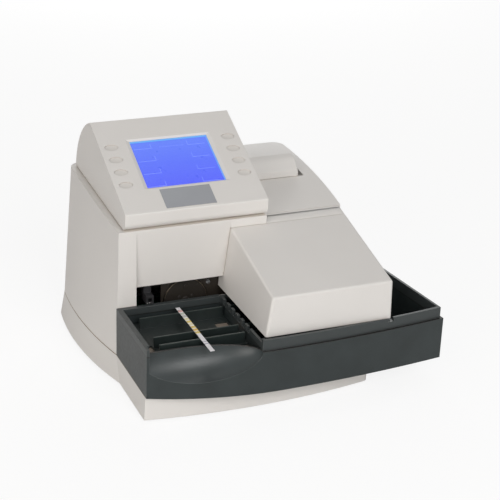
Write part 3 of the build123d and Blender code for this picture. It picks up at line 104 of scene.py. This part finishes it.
# ---------------------------------------------------------------- material nodes
class Shader:
    """A material's node tree, with short calls for the nodes used here."""

    def __init__(self, name, base, rough, metal=0.0, **more):
        self.mat = bpy.data.materials.new(name)
        self.mat.use_nodes = True
        self.tree = self.mat.node_tree
        self.bsdf = self.tree.nodes["Principled BSDF"]
        self.bsdf.inputs["Base Color"].default_value = (*base, 1)
        self.bsdf.inputs["Roughness"].default_value = rough
        self.bsdf.inputs["Metallic"].default_value = metal
        for key, value in more.items():
            self.bsdf.inputs[key.replace("_", " ")].default_value = value
        self.base = base
        self.rough = rough
        self.normal = None
        self.coord = self.node("ShaderNodeTexCoord").outputs["Object"]

    def node(self, kind, **settings):
        made = self.tree.nodes.new(kind)
        for key, value in settings.items():
            setattr(made, key, value)
        return made

    def link(self, source, target):
        self.tree.links.new(source, target)

    def put(self, target, value):
        if hasattr(value, "links"):
            self.link(value, target)
        else:
            target.default_value = value

    def math(self, operation, a, b=0.0, c=0.0):
        made = self.node("ShaderNodeMath", operation=operation)
        for socket, value in zip(made.inputs, (a, b, c)):
            self.put(socket, value)
        return made.outputs[0]

    def axis(self, name):
        split = self.node("ShaderNodeSeparateXYZ")
        self.link(self.coord, split.inputs[0])
        return split.outputs[name]

    def along(self, origin, direction):
        """Distance in mm from a point along a direction."""
        shift = self.node("ShaderNodeVectorMath", operation="SUBTRACT")
        self.link(self.coord, shift.inputs[0])
        shift.inputs[1].default_value = Vector(origin) * MM
        dot = self.node("ShaderNodeVectorMath", operation="DOT_PRODUCT")
        self.link(shift.outputs["Vector"], dot.inputs[0])
        dot.inputs[1].default_value = direction
        return self.math("MULTIPLY", dot.outputs["Value"], 1000.0)

    def noise(self, size, detail=3.0, stretch=(1, 1, 1), rough=0.55):
        """Noise whose features are about size mm."""
        scale = self.node("ShaderNodeMapping")
        self.link(self.coord, scale.inputs[0])
        scale.inputs["Scale"].default_value = stretch
        made = self.node("ShaderNodeTexNoise")
        self.link(scale.outputs[0], made.inputs["Vector"])
        made.inputs["Scale"].default_value = 1000.0 / size
        made.inputs["Detail"].default_value = detail
        made.inputs["Roughness"].default_value = rough
        return made.outputs["Fac"]

    def ramp(self, value, stops, constant=False):
        made = self.node("ShaderNodeValToRGB")
        self.put(made.inputs[0], value)
        ramp = made.color_ramp
        ramp.interpolation = "CONSTANT" if constant else "LINEAR"
        while len(ramp.elements) < len(stops):
            ramp.elements.new(0.5)
        for element, (place, colour) in zip(ramp.elements, stops):
            element.position = place
            element.color = (*colour, 1) if len(colour) == 3 else colour
        return made.outputs[0]

    def band(self, value, low, high, soft=0.1):
        """1 between low and high, falling to 0 over soft."""
        rise = self.node("ShaderNodeMapRange", interpolation_type="SMOOTHSTEP")
        self.put(rise.inputs["Value"], value)
        rise.inputs["From Min"].default_value = low - soft
        rise.inputs["From Max"].default_value = low
        fall = self.node("ShaderNodeMapRange", interpolation_type="SMOOTHSTEP")
        self.put(fall.inputs["Value"], value)
        fall.inputs["From Min"].default_value = high
        fall.inputs["From Max"].default_value = high + soft
        return self.math("MULTIPLY", rise.outputs[0], self.math("SUBTRACT", 1.0, fall.outputs[0]))

    def mix(self, fac, a, b, kind="MIX"):
        made = self.node("ShaderNodeMix", data_type="RGBA", blend_type=kind)
        self.put(made.inputs["Factor"], fac)
        for socket, value in ((made.inputs[6], a), (made.inputs[7], b)):
            self.put(socket, (*value, 1) if isinstance(value, tuple) and len(value) == 3 else value)
        return made.outputs[2]

    def tones(self, size=60.0, spread=0.03, base=None):
        """The base colour with slight variation over size mm."""
        low = tuple(c * (1 - spread) for c in (base or self.base))
        high = tuple(min(1.0, c * (1 + spread)) for c in (base or self.base))
        return self.ramp(self.noise(size, 2.0), [(0.3, low), (0.7, high)])

    def grain(self, size, height, strength=0.6, stretch=(1, 1, 1), detail=3.0, soften=0.5):
        """Fine bump of height mm, over edges softened by soften mm."""
        bump = self.node("ShaderNodeBump")
        bump.inputs["Strength"].default_value = strength
        bump.inputs["Distance"].default_value = height * MM
        self.link(self.noise(size, detail, stretch), bump.inputs["Height"])
        if self.normal is not None:
            self.link(self.normal, bump.inputs["Normal"])
        elif soften:
            bevel = self.node("ShaderNodeBevel", samples=4)
            bevel.inputs["Radius"].default_value = soften * MM
            self.link(bevel.outputs[0], bump.inputs["Normal"])
        self.normal = bump.outputs[0]
        return self

    def finish(self, colour=None, spread=0.08, size=8.0):
        """Joins colour, varied roughness and normal to the shader."""
        self.link(colour if colour is not None else self.tones(), self.bsdf.inputs["Base Color"])
        vary = self.node("ShaderNodeMapRange")
        self.link(self.noise(size, 4.0), vary.inputs["Value"])
        vary.inputs["To Min"].default_value = max(0.02, self.rough - spread)
        vary.inputs["To Max"].default_value = min(1.0, self.rough + spread)
        self.link(vary.outputs[0], self.bsdf.inputs["Roughness"])
        if self.normal is not None:
            self.link(self.normal, self.bsdf.inputs["Normal"])
        return self.mat


def seam_line(s, colour, place, width, line):
    """Draws a thin line round the object at one height over colour."""
    height = s.math("MULTIPLY", s.axis("Z"), 1000.0)
    return s.mix(s.band(height, place - width, place + width, 0.15), colour, line)


def casing(name, base, seam=None, soften=0.7):
    """Fine-grained off-white moulded plastic, with painted shade, darker and warmer, in its corners."""
    s = Shader(name, base, 0.46, Specular_IOR_Level=0.42)
    s.grain(0.9, 0.02, 0.35, soften=soften)
    s.grain(0.35, 0.012, 0.35)
    colour = s.tones(90.0, 0.012)
    # painted shade: ambient occlusion mixes the colour towards a darker warm tone in corners and crevices
    occlusion = s.node("ShaderNodeAmbientOcclusion", samples=6)
    occlusion.inputs["Distance"].default_value = 0.006
    corner_shade = tuple(c * f for c, f in zip(base, (0.93, 0.88, 0.82)))
    colour = s.mix(s.ramp(occlusion.outputs["AO"], [(0.25, (0.75,) * 3), (0.8, (0, 0, 0))]), colour, corner_shade)
    if seam is not None:
        colour = seam_line(s, colour, seam, 0.28, (0.36, 0.29, 0.21))
    return s.finish(colour, 0.05, 5.0)


def dark_plastic(name, base, rough=0.42, grain=0.9, height=0.05):
    s = Shader(name, base, rough, Specular_IOR_Level=0.5)
    s.grain(grain, height, 0.4, soften=0.4)
    s.grain(0.3, 0.015, 0.4)
    return s.finish(s.tones(40.0, 0.10), 0.08, 3.0)


def steel(name, base=(0.62, 0.63, 0.65), rough=0.28, stretch=(1, 1, 1), grain=0.6):
    s = Shader(name, base, rough, 1.0)
    s.grain(grain, 0.01, 0.35, stretch=stretch, soften=0.2)
    return s.finish(s.tones(6.0, 0.08), 0.10, 1.2)


def paint(name, base, rough=0.45):
    s = Shader(name, base, rough)
    s.grain(1.4, 0.04, 0.4, soften=0.3)
    return s.finish(s.tones(25.0, 0.08), 0.08, 2.0)


def rubber(name, base):
    s = Shader(name, base, 0.75)
    s.grain(0.7, 0.04, 0.5, soften=0.3)
    return s.finish(s.tones(10.0, 0.12), 0.08, 2.0)


# ---------------------------------------------------------------- materials of the CAD nodes
WHITE = (0.79, 0.765, 0.735)
TRAY = (0.029, 0.037, 0.038)

housing = casing("housing_plastic", WHITE, SEAM)
base = casing("base_plastic", (0.795, 0.77, 0.74), SEAM)
keys = casing("key_plastic", (0.73, 0.70, 0.665), soften=0.5)


def tray_material():
    """Dark grained tray: a lighter satin band above its step, and paler edges that are a painted
    highlight.
    """
    s = Shader("tray_plastic", TRAY, 0.36, Specular_IOR_Level=0.5)
    s.grain(1.1, 0.11, 0.5, soften=0.5)
    s.grain(0.4, 0.02, 0.45)
    height = s.math("MULTIPLY", s.axis("Z"), 1000.0)
    colour = s.tones(35.0, 0.14)
    colour = s.mix(s.band(height, in_tray(51.2), in_tray(80.0), 0.6), colour, (0.047, 0.055, 0.056))
    colour = s.mix(s.band(height, in_tray(50.1), in_tray(50.9), 0.2), colour, (0.012, 0.012, 0.011))
    # painted highlight: edges found from the bevel normal are mixed towards a pale grey
    edge = s.node("ShaderNodeBevel", samples=4)
    edge.inputs["Radius"].default_value = 0.0006
    flat = s.node("ShaderNodeNewGeometry")
    turn = s.node("ShaderNodeVectorMath", operation="DOT_PRODUCT")
    s.link(edge.outputs[0], turn.inputs[0])
    s.link(flat.outputs["Normal"], turn.inputs[1])
    edge_highlight = s.ramp(turn.outputs["Value"], [(0.80, (0.55,) * 3), (0.97, (0, 0, 0))])
    return s.finish(s.mix(edge_highlight, colour, (0.20, 0.21, 0.21)), 0.09, 2.5)


def strip_material():
    """White film with coloured reagent pads, an end line and two ticks on the handle."""
    s = Shader("strip_film", (0.86, 0.85, 0.88), 0.35)
    along = s.math("SUBTRACT", STRIP_END, s.math("MULTIPLY", s.axis("Y"), 1000.0))
    colours = [(0.80, 0.52, 0.48), (0.60, 0.62, 0.55), (0.60, 0.60, 0.56), (0.82, 0.76, 0.48),
               (0.78, 0.62, 0.20), (0.84, 0.76, 0.50), (0.78, 0.60, 0.18), (0.84, 0.56, 0.14),
               (0.76, 0.60, 0.20)]
    stops = [(i / PAD_COUNT, colour) for i, colour in enumerate(colours)]
    past = s.math("SUBTRACT", along, PAD_FIRST)
    pads = s.ramp(s.math("DIVIDE", past, PAD_COUNT * PAD_PITCH), stops, constant=True)
    top = s.band(s.math("MULTIPLY", s.axis("Z"), 1000.0), STRIP_TOP, 90.0, 0.02)
    ticks = s.math("ADD", s.band(along, 88.0, 89.1, 0.1), s.band(along, 93.4, 94.5, 0.1))
    ticks = s.math("ADD", ticks, s.band(along, 6.3, 6.8, 0.1))
    film = s.mix(ticks, s.tones(20.0, 0.03), (0.30, 0.30, 0.42))
    s.grain(0.8, 0.02, 0.5, soften=0.1)
    return s.finish(s.mix(top, film, pads), 0.08, 1.0)


def lcd_material():
    """Lit blue display, paler along its top and right edges."""
    s = Shader("lcd_blue", (0.02, 0.03, 0.10), 0.3)
    up = s.along(FACE, UP_SLOPE)
    side = s.along(FACE, (1, 0, 0))
    colour = s.ramp(s.math("DIVIDE", s.math("SUBTRACT", up, SCREEN_UP[0]), SCREEN_UP[1] - SCREEN_UP[0]),
                    [(0.0, (0.075, 0.110, 1.0)), (0.5, (0.090, 0.160, 1.0)), (0.93, (0.115, 0.215, 1.0))])
    colour = s.mix(s.band(up, SCREEN_UP[1] - 2.0, 130.0, 0.5), colour, (0.16, 0.50, 1.0))
    colour = s.mix(s.band(side, SCREEN_X[1] - 1.5, 80.0, 0.5), colour, (0.17, 0.42, 1.0))
    dots = s.ramp(s.noise(0.5, 1.0), [(0.35, (0.94,) * 3), (0.65, (1.0,) * 3)])
    colour = s.mix(1.0, colour, dots, "MULTIPLY")
    s.link(colour, s.bsdf.inputs["Emission Color"])
    s.bsdf.inputs["Emission Strength"].default_value = 0.88
    s.grain(2.0, 0.005, 0.2, soften=0)
    return s.finish(s.tones(30.0, 0.05))


def glass_material(name, tint=(1, 1, 1), shine=0.012):
    """Clear pane: a faint reflection over what lies behind it."""
    s = Shader(name, tint, 0.06)
    s.grain(30.0, 0.02, 0.2, soften=0)
    s.finish(s.tones(20.0, 0.01), 0.02, 9.0)
    clear = s.node("ShaderNodeBsdfTransparent")
    clear.inputs[0].default_value = (*tint, 1)
    blend = s.node("ShaderNodeMixShader")
    edge = s.node("ShaderNodeFresnel")
    edge.inputs["IOR"].default_value = 1.35
    s.link(s.math("ADD", s.math("MULTIPLY", edge.outputs[0], 0.4), shine), blend.inputs[0])
    s.link(clear.outputs[0], blend.inputs[1])
    s.link(s.bsdf.outputs[0], blend.inputs[2])
    s.link(blend.outputs[0], s.tree.nodes["Material Output"].inputs["Surface"])
    return s.mat


def reach(s, a, b):
    """Distance from the origin of two coordinates."""
    return s.math("SQRT", s.math("ADD", s.math("MULTIPLY", a, a), s.math("MULTIPLY", b, b)))


def roll_material():
    """Wound paper: pale faces with fine rings on its ends."""
    s = Shader("roll_paper", (0.86, 0.86, 0.83), 0.7)
    y = s.math("SUBTRACT", s.axis("Y"), ROLL_AXIS[0] * MM)
    z = s.math("SUBTRACT", s.axis("Z"), ROLL_AXIS[1] * MM)
    radius = s.math("MULTIPLY", reach(s, y, z), 1000)
    rings = s.math("SINE", s.math("MULTIPLY", radius, 14.0))
    shade = s.math("MULTIPLY", s.math("ADD", rings, 1.0), 0.08)
    colour = s.mix(shade, s.tones(15.0, 0.03), (0.55, 0.54, 0.50))
    s.grain(0.8, 0.03, 0.4, soften=0.2)
    return s.finish(colour)


def board_material():
    """Green solder mask with copper traces, dark chips where the board stands proud."""
    s = Shader("circuit_board", (0.010, 0.10, 0.040), 0.35)
    lines = s.math("SINE", s.math("MULTIPLY", s.axis("X"), 2400.0))
    rows = s.math("SINE", s.math("MULTIPLY", s.axis("Y"), 900.0))
    trace = s.band(s.math("MULTIPLY", lines, rows), 0.55, 0.9, 0.1)
    colour = s.mix(trace, s.tones(12.0, 0.12), (0.03, 0.20, 0.07))
    chips = s.band(s.math("MULTIPLY", s.axis("Z"), 1000.0), 23.8, 60.0, 0.05)
    s.grain(0.5, 0.02, 0.4, soften=0.2)
    return s.finish(s.mix(chips, colour, (0.015, 0.015, 0.016)))


def platform_material():
    """Dark platform whose rib tops are a little paler, a painted highlight broken up by noise."""
    s = Shader("platform_plastic", (0.019, 0.026, 0.025), 0.33)
    s.grain(0.9, 0.05, 0.4, soften=0.25)
    height = s.math("MULTIPLY", s.axis("Z"), 1000.0)
    # painted highlight: the band at the rib tops is mixed towards a paler blue-grey
    rib_top_highlight = s.math("MULTIPLY", s.band(height, in_tray(53.6), in_tray(60.0), 0.4),
                 s.ramp(s.noise(5.0, 4.0), [(0.3, (0.35,) * 3), (0.7, (1.0,) * 3)]))
    return s.finish(s.mix(rib_top_highlight, s.tones(20.0, 0.15), (0.055, 0.070, 0.066)), 0.09, 2.0)


def label_material():
    """Bare silver-grey film with a very fine brushed grain."""
    s = Shader("label_film", (0.33, 0.34, 0.36), 0.45, 0.5)
    s.grain(0.5, 0.006, 0.3, stretch=(0.1, 1, 1), soften=0.1)
    return s.finish(s.tones(45.0, 0.02), 0.03, 4.0)


def rocker_material():
    """Glossy black rocker with its white on and off marks, a bar and a ring."""
    s = Shader("power_rocker", (0.016, 0.016, 0.017), 0.28)
    s.grain(0.9, 0.03, 0.4, soften=0.3)
    x = s.math("SUBTRACT", s.math("MULTIPLY", s.axis("X"), 1000.0), SWITCH_X)
    z = s.math("SUBTRACT", s.math("MULTIPLY", s.axis("Z"), 1000.0), CONNECTOR_Z)
    front = s.band(s.math("MULTIPLY", s.axis("Y"), 1000.0), REAR - 2.2, REAR + 5.0, 0.1)
    stroke = s.math("MULTIPLY", s.band(x, -0.35, 0.35, 0.08), s.band(z, 3.4, 6.6, 0.08))
    down = s.math("ADD", z, 5.0)
    ring = s.band(reach(s, x, down), 1.3, 1.9, 0.08)
    marks = s.math("MULTIPLY", front, s.math("MAXIMUM", stroke, ring))
    return s.finish(s.mix(marks, s.tones(20.0, 0.1), (0.75, 0.75, 0.74)), 0.06, 3.0)


def ports_material():
    """Plated port shells round a dark insert with two rows of contacts."""
    s = Shader("data_ports", (0.55, 0.56, 0.57), 0.3)
    s.grain(0.6, 0.01, 0.35, soften=0.25)
    x = s.math("MULTIPLY", s.axis("X"), 1000.0)
    z = s.math("SUBTRACT", s.math("MULTIPLY", s.axis("Z"), 1000.0), CONNECTOR_Z)
    face = s.band(s.math("MULTIPLY", s.axis("Y"), 1000.0), REAR + 4.8, REAR + 6.0, 0.05)
    width = None
    for middle, span in PORTS:
        inside = s.band(x, middle - span / 2 + 1.9, middle + span / 2 - 1.9, 0.1)
        width = inside if width is None else s.math("ADD", width, inside)
    insert = s.math("MULTIPLY", s.math("MULTIPLY", face, width), s.band(z, -2.8, 2.8, 0.1))
    wave = s.math("SINE", s.math("MULTIPLY", x, 2 * math.pi / CONTACT_PITCH))
    rows = s.math("ADD", s.band(z, 0.9, 1.7, 0.1), s.band(z, -1.7, -0.9, 0.1))
    contact = s.math("MULTIPLY", s.math("MULTIPLY", s.band(wave, 0.75, 1.2, 0.1), rows), insert)
    s.link(s.math("SUBTRACT", 1.0, s.math("SUBTRACT", insert, contact)), s.bsdf.inputs["Metallic"])
    colour = s.mix(insert, s.tones(6.0, 0.08), (0.02, 0.02, 0.022))
    return s.finish(s.mix(contact, colour, (0.70, 0.60, 0.36)), 0.08, 1.2)


inlet = dark_plastic("inlet_plastic", (0.016, 0.016, 0.017), 0.28)
black = dark_plastic("black_plastic", (0.022, 0.022, 0.024), 0.38)
bright = steel("steel")
plated = steel("chassis_steel", (0.58, 0.59, 0.60), 0.35, (0.2, 1, 1), 2.0)
materials = {
    "housing_plastic": housing,
    "base_plastic": base,
    "key_plastic": keys,
    "tray_plastic": tray_material(),
    "platform_plastic": platform_material(),
    "table_plastic": dark_plastic("table_plastic", (0.024, 0.029, 0.029)),
    "drip_plastic": dark_plastic("drip_plastic", (0.23, 0.19, 0.155), 0.5),
    "foot_rubber": rubber("foot_rubber", (0.018, 0.018, 0.018)),
    "platen_rubber": rubber("platen_rubber", (0.03, 0.03, 0.03)),
    "steel": bright,
    "chassis_steel": plated,
    "mechanism_paint": paint("mechanism_paint", (0.030, 0.024, 0.018)),
    "disc_metal": paint("disc_metal", (0.026, 0.022, 0.018), 0.38),
    "motor_steel": steel("motor_steel", (0.42, 0.43, 0.45), 0.35),
    "black_plastic": black,
    "inlet_plastic": inlet,
    "port_metal": ports_material(),
    "panel_paint": paint("panel_paint", (0.50, 0.48, 0.45), 0.5),
    "screen_glass": glass_material("screen_glass"),
    "lcd_blue": lcd_material(),
    "lens_glass": glass_material("lens_glass", (0.8, 0.9, 1.0), 0.25),
    "circuit_board": board_material(),
    "label_film": label_material(),
    "roll_paper": roll_material(),
    "strip_film": strip_material(),
}
for part in frame["record"]["subparts"]:
    shown = nodes[part["node"]]
    shown.data.materials.clear()
    shown.data.materials.append(materials[part["material_slot"]])
nodes["power_rocker"].data.materials[0] = rocker_material()


# ---------------------------------------------------------------- mesh pieces
def piece(name, body, material, build, bevel=0.0):
    """A mesh built in mm by build(bm), riding on a body."""
    bm = bmesh.new()
    build(bm)
    bmesh.ops.scale(bm, vec=(MM, MM, MM), verts=bm.verts)
    bmesh.ops.recalc_face_normals(bm, faces=bm.faces)
    mesh = bpy.data.meshes.new(name)
    bm.to_mesh(mesh)
    bm.free()
    made = bpy.data.objects.new(name, mesh)
    bpy.context.scene.collection.objects.link(made)
    mesh.materials.append(material)
    if bevel:
        round_over = made.modifiers.new("edges", "BEVEL")
        round_over.width = bevel * MM
        round_over.segments = 3
        round_over.limit_method = "ANGLE"
    for face in mesh.polygons:
        face.use_smooth = bool(bevel)
    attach(made, body)
    return made


def bar(bm, low, high, turn=None):
    """A box between two corners, turned by a matrix about its middle if given."""
    middle = (Vector(low) + Vector(high)) / 2
    size = Vector(high) - Vector(low)
    matrix = Matrix.Translation(middle) @ (turn or Matrix.Identity(4)) @ Matrix.Diagonal((*size, 1))
    bmesh.ops.create_cube(bm, size=1.0, matrix=matrix)


def drum(bm, centre, axis, radius, length, top=None, sides=32):
    """A cylinder or cone about an axis, starting at centre."""
    turn = Vector(axis).to_track_quat("Z", "Y").to_matrix().to_4x4()
    middle = Vector(centre) + Vector(axis).normalized() * length / 2
    bmesh.ops.create_cone(bm, cap_ends=True, segments=sides, radius1=radius,
                          radius2=radius if top is None else top, depth=length,
                          matrix=Matrix.Translation(middle) @ turn)


def slope_bar(bm, x, up, depth):
    """A box on the display's slope, from ranges across, up and into it."""
    turn = Matrix.Rotation(RISE, 4, "X")
    size = (x[1] - x[0], up[1] - up[0], depth[1] - depth[0])
    middle = on_slope(sum(x) / 2, sum(up) / 2, sum(depth) / 2)
    bmesh.ops.create_cube(bm, size=1.0,
                          matrix=Matrix.Translation(middle) @ turn @ Matrix.Diagonal((*size, 1)))


def screen_marks(bm):
    """Faint outline boxes beside each key row and a dashed title line."""
    depth = (LCD_DEPTH - 0.12, LCD_DEPTH - 0.02)
    for up in KEY_UP:
        top = min(up + 3.4, SCREEN_UP[1] - 4.5)
        for left, right, upright in ((-45.0, -24.0, -24.0), (21.0, 42.0, 21.0)):
            slope_bar(bm, (left, right), (top - 7.2, top - 6.9), depth)
            slope_bar(bm, (upright - 0.15, upright + 0.15), (top - 7.2, top), depth)
    for i in range(9):
        slope_bar(bm, (-14.0 + i * 3.4, -12.0 + i * 3.4), (103.2, 103.45), depth)


def mark_material():
    s = Shader("screen_mark", (0.2, 0.25, 0.9), 0.4)
    s.link(s.ramp(s.noise(6.0, 2.0), [(0.35, (0.15, 0.24, 0.97)), (0.7, (0.26, 0.36, 1.0))]),
           s.bsdf.inputs["Emission Color"])
    s.bsdf.inputs["Emission Strength"].default_value = 0.9
    s.grain(1.0, 0.01, 0.2, soften=0)
    return s.finish()


def disc_edge_highlight(bm):
    """A thin pale ring round the disc's front edge, a painted highlight where the edge catches the light.
    """
    rings = []
    for radius, proud in ((DISC_RADIUS - 0.9, 0.0), (DISC_RADIUS - 0.8, 0.14), (DISC_RADIUS - 0.15, 0.14),
                          (DISC_RADIUS - 0.02, 0.0)):
        rings.append([bm.verts.new(DISC + Vector((radius * math.cos(a), -proud, radius * math.sin(a))))
                      for a in (2 * math.pi * i / RING_STEPS for i in range(RING_STEPS))])
    for inner, outer in zip(rings, rings[1:]):
        for i in range(RING_STEPS):
            bm.faces.new((inner[i], inner[i - 1], outer[i - 1], outer[i]))


def disc_marks(bm):
    """Three shallow screw heads round the disc's hub."""
    for i in range(3):
        angle = math.radians(90 + 120 * i + 60)
        place = DISC + Vector((9.0 * math.cos(angle), 0, 9.0 * math.sin(angle)))
        drum(bm, place, (0, -1, 0), 1.9, 0.7, 1.5, 24)
    drum(bm, DISC, (0, -1, 0), 4.2, 0.9, 3.8, 40)


def pusher_dots(bm):
    for x in (-130.2, -127.6):
        drum(bm, (x, -37.0, 92.9), (0, -1, 0), 0.45, 0.15, 0.4, 16)


def inlet_blades(bm):
    """Bright sleeves over the inlet's three pins."""
    for i in (-1, 0, 1):
        x = INLET_X + i * PIN_PITCH
        z = CONNECTOR_Z + (2.0 if i == 0 else 0.0)
        bar(bm, (x - 1.1, REAR - 19.0, z - 2.1), (x + 1.1, REAR - 1.9, z + 2.1))


def jack_nuts(bm):
    """A pair of hexagonal jack nuts beside each port."""
    for x, width in PORTS:
        for side in (-1, 1):
            place = (x + side * (width / 2 + 3.6), REAR + 0.8, CONNECTOR_Z)
            drum(bm, place, (0, 1, 0), 2.3, 3.2, sides=6)


def lamp_diodes(bm):
    """Diodes on the lamp board's underside, three on each side of the lens."""
    for side in (-1, 1):
        for i in (-1, 0, 1):
            x = LENS.x + side * 13.0
            y = LENS.y + i * 6.0
            bar(bm, (x - 1.7, y - 1.5, LENS.z - 0.8), (x + 1.7, y + 1.5, LENS.z))
            drum(bm, (x, y, LENS.z - 0.8), (0, 0, -1), 1.2, 0.7, 0.7, 20)


def diode_material():
    s = Shader("lamp_diodes", (0.78, 0.72, 0.42), 0.25)
    s.grain(0.6, 0.01, 0.2, soften=0.1)
    return s.finish(s.tones(2.0, 0.12), 0.06, 1.0)


piece("screen_marks", "housing", mark_material(), screen_marks)
# painted highlight: a tan metal ring stands in for the lit edge of the drive disc
piece("disc_edge_highlight", "disc", steel("disc_edge_highlight", (0.30, 0.25, 0.19), 0.35), disc_edge_highlight)
piece("disc_marks", "disc", paint("disc_marks", (0.040, 0.036, 0.032), 0.3), disc_marks, 0.12)
piece("pusher_dots", "pusher", paint("pusher_dots", (0.70, 0.69, 0.66)), pusher_dots)
piece("inlet_blades", "housing", steel("inlet_blades", (0.60, 0.56, 0.46), 0.3), inlet_blades, 0.25)
piece("jack_nuts", "housing", materials["port_metal"], jack_nuts, 0.08)
piece("lamp_diodes", "read_head", diode_material(), lamp_diodes, 0.1)


# ---------------------------------------------------------------- floor, lights, world and camera
def stage_materials():
    floor = bpy.data.materials.new("floor")
    floor.use_nodes = True
    tree = floor.node_tree
    tree.nodes.clear()
    out = tree.nodes.new("ShaderNodeOutputMaterial")
    matte = tree.nodes.new("ShaderNodeBsdfDiffuse")
    matte.inputs[0].default_value = (0.92, 0.92, 0.92, 1)
    glow = tree.nodes.new("ShaderNodeEmission")
    glow.inputs["Strength"].default_value = FLOOR_GLOW
    path = tree.nodes.new("ShaderNodeLightPath")
    share = tree.nodes.new("ShaderNodeMath")
    share.operation = "MULTIPLY"
    share.inputs[1].default_value = FLOOR_SHARE
    blend = tree.nodes.new("ShaderNodeMixShader")
    tree.links.new(path.outputs["Is Camera Ray"], share.inputs[0])
    tree.links.new(share.outputs[0], blend.inputs[0])
    tree.links.new(matte.outputs[0], blend.inputs[1])
    tree.links.new(glow.outputs[0], blend.inputs[2])
    tree.links.new(blend.outputs[0], out.inputs[0])
    return floor


def make_floor():
    bm = bmesh.new()
    bmesh.ops.create_grid(bm, x_segments=1, y_segments=1, size=6.0)
    mesh = bpy.data.meshes.new("floor")
    bm.to_mesh(mesh)
    bm.free()
    floor = bpy.data.objects.new("floor", mesh)
    floor.location.z = -0.0002
    bpy.context.scene.collection.objects.link(floor)
    mesh.materials.append(stage_materials())


def softbox(name, place, size, power, colour=(1, 1, 1)):
    """A square area light aimed at the object's middle."""
    lamp = bpy.data.lights.new(name, "AREA")
    lamp.size = size
    lamp.energy = power
    lamp.color = colour
    holder = bpy.data.objects.new(name, lamp)
    holder.location = place
    holder.rotation_euler = (LAMP_TARGET - Vector(place)).to_track_quat("-Z", "Y").to_euler()
    bpy.context.scene.collection.objects.link(holder)


def make_world():
    world = bpy.data.worlds.new("studio")
    bpy.context.scene.world = world
    world.use_nodes = True
    tree = world.node_tree
    tree.nodes.clear()
    out = tree.nodes.new("ShaderNodeOutputWorld")
    path = tree.nodes.new("ShaderNodeLightPath")
    seen = None
    for ray in ("Is Camera Ray", "Is Glossy Ray", "Is Transmission Ray"):
        if seen is None:
            seen = path.outputs[ray]
            continue
        both = tree.nodes.new("ShaderNodeMath")
        both.operation = "MAXIMUM"
        tree.links.new(seen, both.inputs[0])
        tree.links.new(path.outputs[ray], both.inputs[1])
        seen = both.outputs[0]
    fill = tree.nodes.new("ShaderNodeBackground")
    fill.inputs[0].default_value = (1.0, 0.99, 0.98, 1)
    fill.inputs[1].default_value = WORLD_FILL
    white = tree.nodes.new("ShaderNodeBackground")
    white.inputs[1].default_value = 1.0
    blend = tree.nodes.new("ShaderNodeMixShader")
    tree.links.new(seen, blend.inputs[0])
    tree.links.new(fill.outputs[0], blend.inputs[1])
    tree.links.new(white.outputs[0], blend.inputs[2])
    tree.links.new(blend.outputs[0], out.inputs[0])


def make_camera():
    azimuth, elevation, roll = (math.radians(turn) for turn in CAMERA_TURNS)
    back = Vector((math.sin(azimuth) * math.cos(elevation), -math.cos(azimuth) * math.cos(elevation),
                   math.sin(elevation)))
    right = (-back).cross(Vector((0, 0, 1))).normalized()
    up = right.cross(-back)
    tilted_right = right * math.cos(roll) + up * math.sin(roll)
    tilted_up = up * math.cos(roll) - right * math.sin(roll)
    camera = bpy.data.objects.new("camera", bpy.data.cameras.new("camera"))
    camera.data.sensor_width = SENSOR
    camera.data.lens = CAMERA_LENS
    camera.data.clip_end = 20.0
    camera.matrix_world = (Matrix.Translation(CAMERA_PLACE * MM)
                           @ Matrix((tilted_right, tilted_up, back)).transposed().to_4x4())
    bpy.context.scene.collection.objects.link(camera)
    bpy.context.scene.camera = camera


make_floor()
make_world()
make_camera()
softbox("key", (0.1, -2.3, 1.6), 1.2, 26)
softbox("fill", (-1.9, -1.6, 0.7), 1.5, 20, (1.0, 0.96, 0.92))
softbox("top", (0.25, 0.15, 2.2), 0.5, 1.5)
softbox("back", (0.7, 2.2, 0.6), 1.4, 13)
bpy.context.scene.view_settings.view_transform = "Standard"
